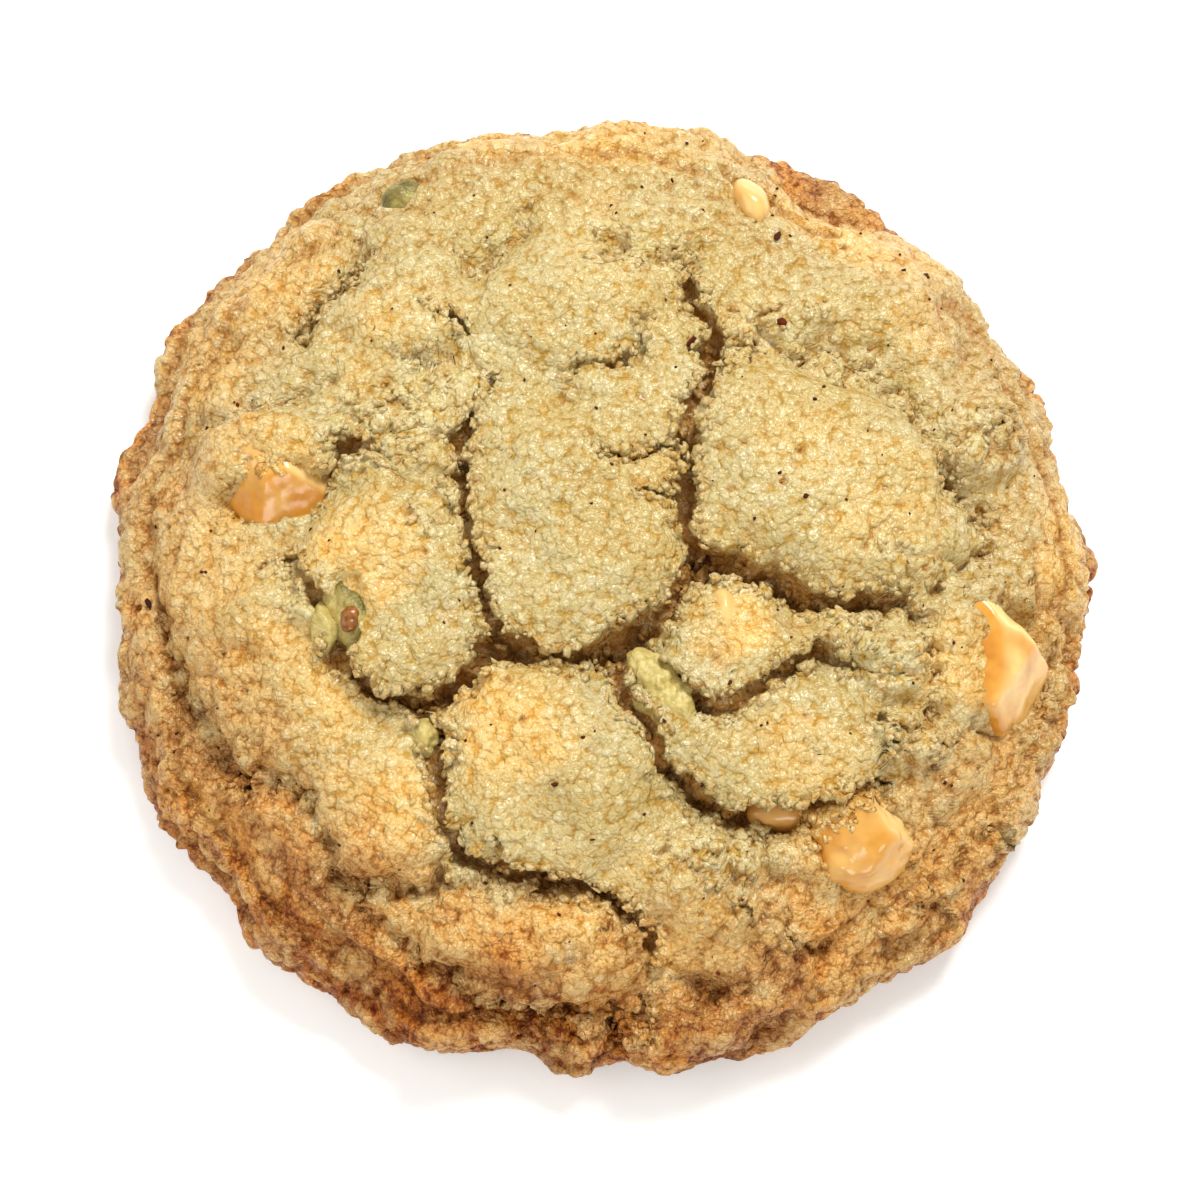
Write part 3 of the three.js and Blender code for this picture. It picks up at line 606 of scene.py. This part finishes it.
# Raised crumbs of the foot stay paler than its low ground: part their own colour, part a painted highlight on
# their tops and painted shade below.
foot = foot * (1 - 0.55 * smooth(-0.05, 0.45, crumb))
far_ledge = smooth(0.05, 0.4, patch(bent_x, bent_y, FAR_LEDGE) + 0.08 * noise(base, 1.5, 68))
foot = np.maximum(foot, far_ledge * (0.62 + 0.3 * noise(base, 2, 69)))
bake = np.maximum(bake, 0.95 * smooth(0.04, 0.45, foot))
tone = smooth(-0.5, 0.6, noise(base, 5.5, 66) + 0.4 * noise(base, 1.6, 67))
inner_crumb = np.clip(loose * (0.75 + 0.4 * noise(base, 2.2, 64)), 0, 1) * (1 - foot)
# Painted shade: the colour darkens in cracks, creases, pits, ledge gaps and hollows of the crumb, and low on
# the foot by the table, most on the side turned from the light.
painted_shade = smooth(0.2, 2.4, crack_depth) + 0.15 * smooth(0.3, 2.2, furrow_crease) + 0.9 * pit + 0.8 * ledge_gap
painted_shade = painted_shade + 0.7 * cavity * (1 - 0.3 * loose) + smooth(2.6, 0.8, rise) * (0.2 + 0.7 * brown_and_shaded_side)
painted_shade = np.clip(painted_shade, 0, 1)
MASKS = {}
for key, values, below in (("bake", bake, 0.9), ("foot", foot, 1.0), ("inner", inner_crumb, 0.0),
                           ("painted_shade", painted_shade, 0.0), ("tone", tone, 0.6)):
    MASKS[key] = np.concatenate([values, np.full(len(dough_points) - len(values), below)])


# %% From arrays to a piece
def add_piece(name, points_mm, triangles, material, masks):
    """Makes a mesh from arrays in millimetres, with its masks and finish, riding on the cookie's one body."""
    mesh = bpy.data.meshes.new(name)
    mesh.vertices.add(len(points_mm))
    mesh.vertices.foreach_set("co", (points_mm * MM).astype(np.float32).ravel())
    mesh.loops.add(triangles.size)
    mesh.loops.foreach_set("vertex_index", triangles.astype(np.int32).ravel())
    mesh.polygons.add(len(triangles))
    mesh.polygons.foreach_set("loop_start", np.arange(0, triangles.size, 3, dtype=np.int32))
    mesh.polygons.foreach_set("use_smooth", np.ones(len(triangles), bool))
    mesh.update(calc_edges=True)
    for mask, values in masks.items():
        layer = mesh.attributes.new(mask, "FLOAT", "POINT")
        layer.data.foreach_set("value", values.astype(np.float32))
    mesh.materials.append(material)
    piece = bpy.data.objects.new(name, mesh)
    scene.collection.objects.link(piece)
    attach(piece, "root")
    print(name, "has", len(triangles), "triangles")
    return piece


# %% [markdown]
# ## Finishes
# Everything here is procedural. The dough starts from a pale crust, and its masks move it towards gold,
# brown, bare crumb and the painted shade of cracks, pits and hollows. Two effects are shared by several
# finishes, so each is a node group: fine crumb, which gives a normal, gaps and domes, and stains.


# %% Node helpers
def add_node(tree, kind, values=None, **settings):
    """A shader node of a kind, with its settings, and with its inputs set or linked."""
    made = tree.nodes.new("ShaderNode" + kind)
    for name, value in settings.items():
        setattr(made, name, value)
    set_inputs(made, values or {})
    return made


def light_of(shade):
    """A colour as it shows on a screen, from 0 to 255, turned into the light it stands for."""
    screen = np.array(shade) / 255
    return (*np.where(screen > 0.04045, ((screen + 0.055) / 1.055) ** 2.4, screen / 12.92), 1.0)


def new_group(name, inputs, outputs):
    """An empty node group, with inputs given by their first values and outputs by their kinds."""
    tree = bpy.data.node_groups.new(name, "ShaderNodeTree")
    for label, first in inputs.items():
        tree.interface.new_socket(label, in_out="INPUT", socket_type="NodeSocketFloat").default_value = first
    for label, kind in outputs.items():
        tree.interface.new_socket(label, in_out="OUTPUT", socket_type="NodeSocket" + kind)
    return tree, tree.nodes.new("NodeGroupInput"), tree.nodes.new("NodeGroupOutput")


def mix(tree, factor, first, second, blend="MIX"):
    """A colour mix. Each colour is a (node, output) pair, or three numbers as a screen shows them."""
    first, second = (light_of(tone) if len(tone) == 3 else tone for tone in (first, second))
    return add_node(tree, "Mix", {0: factor, 6: first, 7: second}, data_type="RGBA",
                    blend_type=blend, clamp_factor=True), 2


def maths(tree, operation, *numbers):
    """A sum on (node, output) pairs and numbers."""
    return add_node(tree, "Math", dict(enumerate(numbers)), operation=operation), 0


# %% Fine crumb, a shared effect
BEND = 0.5
FINER_SHARE = 0.45
OWN_LIFT = 0.4
SPECKLE_SHARE = 0.3
SWAY_PER_METRE = 1300.0
SPECKLES_PER_METRE = 3200.0


def make_fine_crumb():
    """Bump from bent scattered cells, each a small dome of random height, so that they overlap like crumbs,
    a finer layer of the same, and speckle. Hollows is 1 in the gaps, and Domes is the height."""
    tree, given, out = new_group(
        "fine_crumb", {"Grain Size": 0.8, "Height": 0.2},
        {"Normal": "Vector", "Hollows": "Float", "Domes": "Float"})
    place = add_node(tree, "TexCoord"), "Object"
    sway = add_node(tree, "TexNoise", {
        "Vector": place, "Scale": SWAY_PER_METRE, "Detail": 1.0, "Roughness": 0.6})
    centred = add_node(tree, "VectorMath", {0: (sway, "Color"), 1: (0.5, 0.5, 0.5)},
                       operation="SUBTRACT")
    bent_place = add_node(tree, "VectorMath", {0: (centred, 0), 1: (BEND * MM,) * 3, 2: place},
                          operation="MULTIPLY_ADD"), 0
    layers = []
    for finer in (1.0, FINER_SHARE):
        per_metre = maths(tree, "DIVIDE", 1 / MM / finer, (given, "Grain Size"))
        cells = add_node(tree, "TexVoronoi", {"Vector": bent_place, "Scale": per_metre})
        own = add_node(tree, "SeparateColor", {0: (cells, "Color")})
        dome = maths(tree, "MULTIPLY", (cells, "Distance"), (cells, "Distance"))
        lifted = maths(tree, "MULTIPLY", (own, 0), OWN_LIFT)
        layers.append(maths(tree, "MULTIPLY", maths(tree, "SUBTRACT", lifted, dome), finer))
    speckle = add_node(tree, "TexNoise", {
        "Vector": place, "Scale": SPECKLES_PER_METRE, "Detail": 1.0, "Roughness": 0.6})
    layers.append(maths(tree, "MULTIPLY", (speckle, 0), SPECKLE_SHARE))
    height = maths(tree, "ADD", maths(tree, "ADD", layers[0], layers[1]), layers[2])
    metres = maths(tree, "MULTIPLY", (given, "Height"), MM)
    bump = add_node(tree, "Bump", {"Strength": 1.0, "Distance": metres, "Height": height})
    hollows = add_node(tree, "MapRange", {"Value": height, "From Min": -0.04, "From Max": -0.44})
    set_inputs(out, {"Normal": (bump, "Normal"), "Hollows": (hollows, "Result"), "Domes": height})
    return tree


FINE_CRUMB = make_fine_crumb()


# %% Stains, a shared effect
def make_stains():
    """Soft, uneven patches of a given size, such as where sugar browned more."""
    tree, given, out = new_group("stains", {"Size": 4.0}, {"Patches": "Float"})
    place = add_node(tree, "TexCoord"), "Object"
    per_metre = maths(tree, "DIVIDE", 1 / MM, (given, "Size"))
    cloud = add_node(tree, "TexNoise", {
        "Vector": place, "Scale": per_metre, "Detail": 2.0, "Roughness": 0.6})
    spread = add_node(tree, "MapRange", {"Value": (cloud, 0), "From Min": 0.32, "From Max": 0.68})
    set_inputs(out, {"Patches": (spread, "Result")})
    return tree


STAINS = make_stains()


# %% Finishes in stained colours
def new_finish(name, stain_size):
    """An empty finish, its nodes, its shader and the mask of its stains."""
    finish = bpy.data.materials.new(name)
    finish.use_nodes = True
    tree = finish.node_tree
    stains = add_node(tree, "Group", {"Size": stain_size}, node_tree=STAINS), 0
    return finish, tree, tree.nodes["Principled BSDF"], stains


def mask_of(tree, name):
    """A number that the mesh carries."""
    return add_node(tree, "Attribute", attribute_name=name), "Fac"


def stained_finish(name, stain_size, tones, looks, mask=None, relief=None):
    """A finish in one tone of two stained colours, or in two with a mask between them. Looks are the
    shader's other values, and relief makes its normal."""
    finish, tree, shader, stains = new_finish(name, stain_size)
    stained = [mix(tree, stains, first, second) for first, second in tones]
    if mask:
        stained[0] = mix(tree, mask_of(tree, mask), *stained)
    if relief:
        looks = {**looks, "Normal": relief(tree)}
    set_inputs(shader, {**looks, "Base Color": stained[0]})
    return finish


# %% The baked dough
def make_dough_finish():
    """Pale crust moved by the mesh's masks, one of which is painted shade. The gaps of the crumb get painted
    shade and its tips a painted highlight; the tips are shinier too.
    """
    finish, tree, shader, stains = new_finish("baked_dough", 1.4)
    mask = {key: mask_of(tree, key) for key in MASKS}
    height = maths(tree, "MULTIPLY_ADD", mask["foot"], 0.46, 0.3)
    crumb = add_node(tree, "Group", {"Grain Size": 0.85, "Height": height}, node_tree=FINE_CRUMB)
    shade = mix(tree, mask["tone"], mix(tree, stains, (198, 182, 134), (188, 169, 108)), (192, 168, 105))
    # The last layer is painted shade: darker and browner on the foot.
    for where, between, first, second in (
            ("bake", stains, (231, 198, 124), (222, 174, 90)),
            ("inner", stains, (216, 202, 152), (205, 187, 124)),
            ("foot", mask["tone"], (206, 118, 18), (150, 66, 6)),
            ("painted_shade", mask["foot"], (186, 138, 70), (128, 60, 8))):
        shade = mix(tree, mask[where], shade, mix(tree, between, first, second))
    # Painted shade in the gaps of the crumb, browner on the foot.
    gap_shade_colour = mix(tree, mask["foot"], (242, 214, 140), (160, 92, 28))
    between = mix(tree, (crumb, "Hollows"), (255, 255, 255), gap_shade_colour)
    shade = mix(tree, 1.0, shade, between, "MULTIPLY")
    # Painted highlight: the tips of the crumb are paler, more golden on the foot.
    tip_highlight = add_node(tree, "MapRange", {
        "Value": (crumb, "Domes"), "From Min": 0.22, "From Max": 0.55, "To Max": 0.5})
    tip_highlight_colour = mix(tree, mask["foot"], (232, 220, 178), (222, 164, 76))
    shade = mix(tree, (tip_highlight, 0), shade, tip_highlight_colour)
    gloss = add_node(tree, "MapRange", {
        "Value": (crumb, "Domes"), "From Min": -0.4, "From Max": 0.4, "To Min": 0.5, "To Max": 0.15})
    sheen = mix(tree, mask["foot"], (255, 255, 255), (255, 214, 160))
    set_inputs(shader, {
        "Base Color": shade, "Normal": (crumb, "Normal"), "Roughness": (gloss, "Result"),
        "Specular IOR Level": 0.5, "Specular Tint": sheen})
    return finish


DOUGH_FINISH = make_dough_finish()
dough = add_piece("dough_surface", dough_points, dough_faces, DOUGH_FINISH, MASKS)
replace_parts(dough, "dough")

# %% [markdown]
# ## Loose crumbs
# Single grains stand on the crust, hang on the lips and lie in the cracks. Each is a small ball of 20
# faces, partly sunk where it sits. Each kind is one array: the same ball, stretched, turned and dented by
# random numbers, and set on a point of the crust with its masks.


# %% A small ball
GOLDEN_RATIO = (1 + math.sqrt(5)) / 2
ring = [(0, a, b * GOLDEN_RATIO) for a in (-1, 1) for b in (-1, 1)]
BALL_POINTS = np.array(ring + [(z, x, y) for x, y, z in ring] + [(y, z, x) for x, y, z in ring], float)
BALL_POINTS /= np.linalg.norm(BALL_POINTS, axis=1, keepdims=True)
near_pairs = np.linalg.norm(BALL_POINTS[:, None] - BALL_POINTS[None], axis=2) < 1.2
ball_faces = []
for i, j, k in np.ndindex(12, 12, 12):
    if i < j < k and near_pairs[i, j] and near_pairs[j, k] and near_pairs[i, k]:
        outside = np.linalg.det(BALL_POINTS[[i, j, k]]) > 0
        ball_faces.append((i, j, k) if outside else (i, k, j))
BALL_FACES = np.array(ball_faces)


# %% Grains set on a skin
DENT = 0.24
BALL_FOOT_SHADE = 0.35
JITTER = 0.12
LOWEST = 0.02


def face_normals(places, triangles):
    """Unit normal of the surface at each point: the sum of its faces' normals."""
    a, b, c = (places[triangles[:, k]] for k in range(3))
    flat = np.cross(b - a, c - a)
    total = np.zeros_like(places)
    for k in range(3):
        np.add.at(total, triangles[:, k], flat)
    return total / np.maximum(np.linalg.norm(total, axis=1, keepdims=True), 1e-9)


def scatter(name, skin, weights, amount, sizes, flat, stand, tilt, material, seed):
    """Balls on points drawn by weight from a skin, which is its points, their normals and their masks. Sizes
    are the smallest and largest diameter, and stand is how far out of the skin the middle lies."""
    skin_points, skin_normals, skin_masks = skin
    corners = len(BALL_POINTS)
    draw = np.random.default_rng(seed)
    chosen = draw.choice(len(skin_points), amount, replace=False, p=weights / weights.sum())
    size = sizes[0] * (sizes[1] / sizes[0]) ** draw.random(amount) / 2
    stretch = np.stack([draw.uniform(0.9, 1.5, amount), draw.uniform(0.7, 1.05, amount),
                        flat * draw.uniform(0.8, 1.25, amount)], axis=1)
    dents = 1 + DENT * draw.standard_normal((amount, corners, 1)).clip(-1.6, 1.6)
    shape = BALL_POINTS[None] * dents * (size[:, None] * stretch)[:, None, :]
    up = skin_normals[chosen] + tilt * draw.standard_normal((amount, 3))
    up /= np.linalg.norm(up, axis=1, keepdims=True)
    across = np.cross(up, draw.standard_normal((amount, 3)))
    across /= np.linalg.norm(across, axis=1, keepdims=True)
    turned = np.stack([across, np.cross(up, across), up], axis=2)
    centre = skin_points[chosen] + skin_normals[chosen] * (size * stand * flat)[:, None]
    centre += JITTER * draw.standard_normal((amount, 3)) * [1, 1, 0.3]
    places = np.einsum("nij,nkj->nki", turned, shape) + centre[:, None, :]
    places[..., 2] = np.maximum(places[..., 2], LOWEST)
    triangles = BALL_FACES[None] + (np.arange(amount) * corners)[:, None, None]
    carried = {key: np.repeat(values[chosen], corners) for key, values in skin_masks.items()}
    if carried:
        carried["tone"] = np.clip(carried["tone"] + np.repeat(draw.uniform(-0.4, 0.4, amount), corners), 0, 1)
        # Each ball keeps a weaker share of the crust's painted shade, and gets more at its foot, where it
        # meets the crust.
        above = (shape[..., 2] / size[:, None] + stand * flat).ravel()
        carried["painted_shade"] = np.clip(0.8 * carried["painted_shade"] ** 2 + BALL_FOOT_SHADE * smooth(0.3, -0.1, above), 0, 1)
    add_piece(name, places.reshape(-1, 3), triangles.reshape(-1, 3), material, carried)


# %% Grains of each kind
GRAINS_ABOVE = 7
CRUST_NORMALS = face_normals(dough_points, dough_faces)[:len(crust)]
CRUST_SKIN = (crust, CRUST_NORMALS, MASKS)
high = rise > GRAINS_ABOVE
along_x = np.gradient(crust.reshape(row, row, 3), axis=1).reshape(-1, 3)
along_y = np.gradient(crust.reshape(row, row, 3), axis=0).reshape(-1, 3)
cell_area = np.clip(np.linalg.norm(np.cross(along_x, along_y), axis=1), 0, 0.3)
solid_crust = (1 - smooth(0.3, 0.7, bare)) * smooth(0.1, 0.5, rise)
lips = lip * (crack < 2.6) + 0.8 * 4 * bare * (1 - bare)
ground = cell_area * solid_crust * (1 - smooth(0.2, 0.8, strongest(x, y, NUT_SPOTS)))
GRAINS = [
    ("grains_loose", (crack > 0.95) * loose ** 1.5 * high, 1700, (0.5, 1.5), 0.5, -0.7, 0.4, 104),
    ("grains_on_lips", (crack > 0.9) * lips * high, 2000, (0.5, 1.4), 0.6, -0.4, 0.5, 107),
    ("grains_in_cracks", crack <= 1, 900, (0.6, 1.4), 0.6, -0.4, 0.4, 105),
]
for name, where, amount, sizes, flat, stand, tilt, seed in GRAINS:
    scatter(name, CRUST_SKIN, ground * where, amount, sizes, flat, stand, tilt, DOUGH_FINISH, seed)


# %% [markdown]
# ## Chunks and nuts
# A broken chunk is a lump with a few flat faces and soft edges. In each direction its surface reaches as
# far as a rounded mean of its ellipsoid and its flat faces allows. A larger power in that mean gives a
# crisper edge. The solid was made so too, so the pieces fit their places. Each has its place, how deep its
# middle is sunk, three half sizes, a turn, that power and its flat faces. A flat face has a direction, an
# elevation and a distance.

# %% The sizes of the pieces
MORSELS = {
    "white_chocolate_right": ((34.2, -8.6), 3.1, (7, 7.4, 6), -4, 30, [
        (350, 60, 3.72), (190, 80, 3.33), (42, 40, 4.2), (42, 8, 3.95), (332, 25, 4), (100, 12, 5.6),
        (250, 20, 5.6), (0, -90, 4.2)]),
    "white_chocolate_left": ((-28.7, 7.4), 4.2, (5.2, 5, 5), 6, 30, [
        (290, 50, 3.6), (213, 45, 3.9), (20, 50, 3.8), (84, 84, 4.1), (120, 10, 4.4), (0, -90, 4)]),
    "white_chocolate_lower_right": ((21.9, -25.1), 3.3, (5.6, 5.3, 5), 10, 24, [
        (262, 72, 3.7), (30, 26, 4.3), (203, 22, 4), (113, 34, 4.2), (319, 28, 4.4), (264, 30, 4.5),
        (0, -90, 4)]),
    "white_chocolate_top": ((13.9, 34.3), 0.6, (1.7, 2.9, 1.8), 12, 8, [
        (200, 30, 1.5), (60, 40, 1.6)]),
    "white_chocolate_in_crack": ((15.8, -23), 4, (3, 2, 1.7), 4, 8, [
        (270, 20, 1.6)]),
    "white_chocolate_middle": ((10.9, -6.2), 1.15, (1.3, 2.1, 1.4), 14, 8, [
        (170, 40, 1.1), (10, 40, 1.1)]),
    "pistachio_left": ((-21.9, -5.8), 2, (2.3, 3.4, 2.3), 25, 12, [
        (200, 46, 1.4), (60, 70, 2)]),
    "pistachio_left_slice": ((-24.1, -7.1), 1.7, (1.2, 2.7, 1.5), -4, 10, [
        (215, 60, 1), (40, 30, 1)]),
    "pistachio_middle": ((5.4, -13.2), 1.2, (2.2, 4.3, 2.2), 33, 8, [
        (60, 62, 1.9), (225, 50, 1.8)]),
    "pistachio_lower_left": ((-15.6, -17), 1.1, (1.6, 1.9, 1.5), -40, 8, [
        (240, 60, 1.3)]),
    "pistachio_top": ((-17.9, 34.4), 0.9, (2.3, 2, 1.6), 20, 8, [
        (280, 60, 1.3)]),
    "pistachio_skin": ((-21.8, -6.9), 0.2, (0.8, 1.25, 0.5), -12, 6, []),
}


# %% A softly cut lump
def direction(azimuth, elevation):
    """Unit arrow at two angles in degrees."""
    around, up = math.radians(azimuth), math.radians(elevation)
    return np.array([math.cos(up) * math.cos(around), math.cos(up) * math.sin(around), math.sin(up)])


def soft_lump(at, sink, half, turn, edge, faces, columns, rows, dent, dent_size):
    """The lump's points and triangles, and for each point how much the lump and each flat face rule."""
    around = np.linspace(0, 2 * np.pi, columns, endpoint=False)
    up = np.linspace(0, np.pi, rows + 1)[1:-1]
    up, around = np.meshgrid(up, around, indexing="ij")
    ring = np.stack([np.sin(up) * np.cos(around), np.sin(up) * np.sin(around), np.cos(up)], axis=2)
    ray = np.concatenate([[[0, 0, 1]], ring.reshape(-1, 3), [[0, 0, -1]]])
    c, s = math.cos(math.radians(-turn)), math.sin(math.radians(-turn))
    turned = np.stack([ray[:, 0] * c - ray[:, 1] * s, ray[:, 0] * s + ray[:, 1] * c, ray[:, 2]], axis=1)
    shares = [np.linalg.norm(turned / np.array(half), axis=1)]
    for azimuth, elevation, distance_out in faces:
        shares.append(np.maximum(0, ray @ direction(azimuth, elevation) / distance_out))
    powers = np.stack(shares) ** edge
    reach = powers.sum(axis=0) ** (-1 / edge)
    places = np.array([*at, crust_height(*at) - sink]) + ray * reach[:, None]
    dents = noise(places, dent_size, 71) + 0.5 * noise(places, dent_size / 2.2, 72)
    places = places + ray * (dent * dents)[:, None]
    grid = 1 + np.arange((rows - 1) * columns).reshape(rows - 1, columns)
    right = np.roll(grid, -1, axis=1)
    top, bottom = np.zeros(columns, int), np.full(columns, len(ray) - 1)
    triangles = [
        np.stack([top, grid[0], right[0]], axis=1),
        np.stack([grid[:-1].ravel(), grid[1:].ravel(), right[1:].ravel()], axis=1),
        np.stack([grid[:-1].ravel(), right[1:].ravel(), right[:-1].ravel()], axis=1),
        np.stack([grid[-1], bottom, right[-1]], axis=1),
    ]
    return places, np.concatenate(triangles), powers / powers.sum(axis=0)


def along(places, stroke, half_width):
    """1 on a stroke given as x, y, x, y, falling off as a bell beside it."""
    dx, dy, _, _ = nearest(places[:, 0], places[:, 1], (*stroke[:2], 0, 0), (*stroke[2:], 0, 0))
    return np.exp(-(dx ** 2 + dy ** 2) / half_width ** 2)


def lump_piece(name, places, triangles, finish, masks):
    """A lump as a piece that stands for the solid of that name."""
    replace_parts(add_piece(name + "_surface", places, triangles, finish, masks), name)


# %% White chocolate
def ripple(tree):
    """A faint ripple of a melted surface."""
    place = add_node(tree, "TexCoord"), "Object"
    waves = add_node(tree, "TexNoise", {"Vector": place, "Scale": 700.0, "Detail": 3.0})
    depth = 0.12 * MM
    return add_node(tree, "Bump", {"Strength": 0.5, "Distance": depth, "Height": (waves, 0)}), 0


# Cream and caramel. The caramel stands for real toasting and, on faces turned from the light, painted shade.
CREAM = (240, 212, 146), (230, 198, 122)
CARAMEL = (218, 156, 62), (194, 124, 36)
CHOCOLATE_FINISH = stained_finish("white_chocolate", 2.6, [CREAM, CARAMEL], {
    "Roughness": 0.2, "Subsurface Weight": 0.15, "Subsurface Radius": (1.0, 0.7, 0.35),
    "Subsurface Scale": 1.5 * MM}, "caramel_and_shade", ripple)


def chocolate_piece(name, caramel_and_shade_by_face, cream_and_highlight_strokes=(), dent=0.16, grid=(96, 64)):
    """One chunk, caramel by an amount for the lump and for each flat face, part toasting and part painted
    shade, but pale along strokes, each with a half width and a strength, part cream and part painted
    highlight. Returns its points and triangles."""
    places, triangles, rule = soft_lump(*MORSELS[name], *grid, dent, 2.0)
    caramel_and_shade = sum(rule[k] * amount for k, amount in enumerate(caramel_and_shade_by_face))
    caramel_and_shade = np.clip(caramel_and_shade * (0.95 + 0.3 * noise(places, 2.2, 81)), 0, 1)
    for *stroke, half_width, strength in cream_and_highlight_strokes:
        caramel_and_shade = caramel_and_shade * (1 - strength * along(places, stroke, half_width))
    lump_piece(name, places, triangles, CHOCOLATE_FINISH, {"caramel_and_shade": caramel_and_shade})
    return places, triangles


# Faces turned from the light, and the chunk down in a crack, get more caramel as painted shade. The pale
# strokes are partly cream and partly painted highlight.
chocolate_piece("white_chocolate_right", [0.7, 0.8, 1.2, 0, 0.1, 0.8, 0.9, 1],
                [(36.6, -9.6, 36.4, -12.2, 0.8, 0.6), (39.2, -8.8, 37.2, -13.4, 0.4, 0.4)])
left_chunk = chocolate_piece("white_chocolate_left", [0.75, 1, 1.1, 0.25, 0.8, 0.8])
low_chunk = chocolate_piece("white_chocolate_lower_right", [0.95, 0.85, 0.25, 1.2, 0.9, 0.7, 1],
                            [(26.3, -22.6, 27.4, -25.4, 0.6, 0.8)], 0.3)
chocolate_piece("white_chocolate_top", [0.5, 0.5, 0.4], dent=0.08, grid=(57, 38))
chocolate_piece("white_chocolate_in_crack", [1, 1], dent=0.1, grid=(57, 38))
chocolate_piece("white_chocolate_middle", [0.35, 0.35, 0.35], dent=0.06, grid=(48, 32))


# %% Crumbs on the chunks
def crumbs_on(name, chunk, middle, towards, amount, seed):
    """Golden crumbs on a chunk, most of them to one side of its middle, in a direction in degrees."""
    places, triangles = chunk
    normals = face_normals(places, triangles)
    to_side = (places[:, :2] - middle) @ direction(towards, 0)[:2]
    weights = smooth(-0.5, 2.5, to_side) * smooth(0.0, 0.4, normals[:, 2]) + 1e-4 * (normals[:, 2] > 0.1)
    golden = {"bake": 1.0, "foot": 0.12, "inner": 0.0, "painted_shade": 0.0, "tone": 0.2}
    masks = {key: np.full(len(places), value) for key, value in golden.items()}
    scatter(name, (places, normals, masks), weights, amount, (0.5, 1.15), 0.4, -0.35, 0.3, DOUGH_FINISH, seed)


crumbs_on("crumbs_on_lower_right_chunk", low_chunk, (21.9, -24.6), 125, 360, 110)
crumbs_on("crumbs_on_left_chunk", left_chunk, (-28.9, 6.8), 110, 110, 111)


# %% Pistachio
def flesh_grain(tree):
    """The fine grain of cut flesh."""
    return add_node(tree, "Group", {"Grain Size": 0.8, "Height": 0.14}, node_tree=FINE_CRUMB), 0


FLESH = (208, 190, 118), (178, 156, 84)
GREEN = (128, 118, 26), (88, 76, 12)
NUT_FINISH = stained_finish("pistachio", 1.2, [FLESH, GREEN], {
    "Roughness": 0.42, "Subsurface Weight": 0.2, "Subsurface Radius": (0.7, 0.8, 0.3),
    "Subsurface Scale": MM}, "outside", flesh_grain)


def nut_piece(name, flesh, green=(), dent=0.14, grid=(67, 44)):
    """One nut piece, pale by an amount for the lump and for each flat cut, but green outside and along
    strokes, each with a half width."""
    places, triangles, rule = soft_lump(*MORSELS[name], *grid, dent, 1.1)
    cut = sum(rule[k] * amount for k, amount in enumerate(flesh))
    outside = 1 - cut + 0.25 * noise(places, 1.4, 91)
    for *stroke, half_width in green:
        outside = outside + along(places, stroke, half_width)
    lump_piece(name, places, triangles, NUT_FINISH, {"outside": np.clip(outside, 0, 1)})


nut_piece("pistachio_left", [0.7, 1.1, 0.8], [(-24.2, -3, -22, -2.9, 0.8), (-22, -2.9, -20, -5.6, 1)])
nut_piece("pistachio_left_slice", [0.8, 1, 1])
nut_piece("pistachio_middle", [1.1, 1.2, 1.2], dent=0.5, grid=(96, 64))
nut_piece("pistachio_lower_left", [0.95, 1], dent=0.4)
nut_piece("pistachio_top", [0.1, 0.6], dent=0.2)


# %% Nut skin
RED_BROWN = (158, 98, 38), (104, 60, 18)
SKIN_FINISH = stained_finish("nut_skin", 0.6, [RED_BROWN], {"Roughness": 0.25})
places, triangles, _ = soft_lump(*MORSELS["pistachio_skin"], 32, 20, 0.08, 0.7)
lump_piece("pistachio_skin", places, triangles, SKIN_FINISH, {})

# %% [markdown]
# ## Specks
# Dark grains of bran are baked into the crust, most of them a third of a millimetre across. A few larger
# flecks lie at the places given.

# %% Specks and flecks
NEARLY_BLACK = (96, 34, 14), (52, 18, 8)
SPECK_FINISH = stained_finish("speck", 2.0, [NEARLY_BLACK], {"Roughness": 0.8, "Specular IOR Level": 0.2})
BARE_SKIN = (crust, CRUST_NORMALS, {})
FLECKS = [(14, 20), (16.5, 21.5), (13.8, 17.7), (30, 27.3), (16, 30.2), (9.6, -0.4), (-3.8, -22),
          (-40.3, -3.2), (8, 19)]
on_top_crust = cell_area * solid_crust * (crack > 1) * high
scatter("specks", BARE_SKIN, on_top_crust, 170, (0.2, 0.42), 0.8, 0.2, 0.3, SPECK_FINISH, 106)
under_flecks = np.zeros(len(crust))
for fleck in FLECKS:
    under_flecks[np.argmin(np.linalg.norm(crust[:, :2] - fleck, axis=1))] = 1
scatter("flecks", BARE_SKIN, under_flecks, len(FLECKS), (0.7, 1.1), 0.4, 0.6, 0.3, SPECK_FINISH, 109)
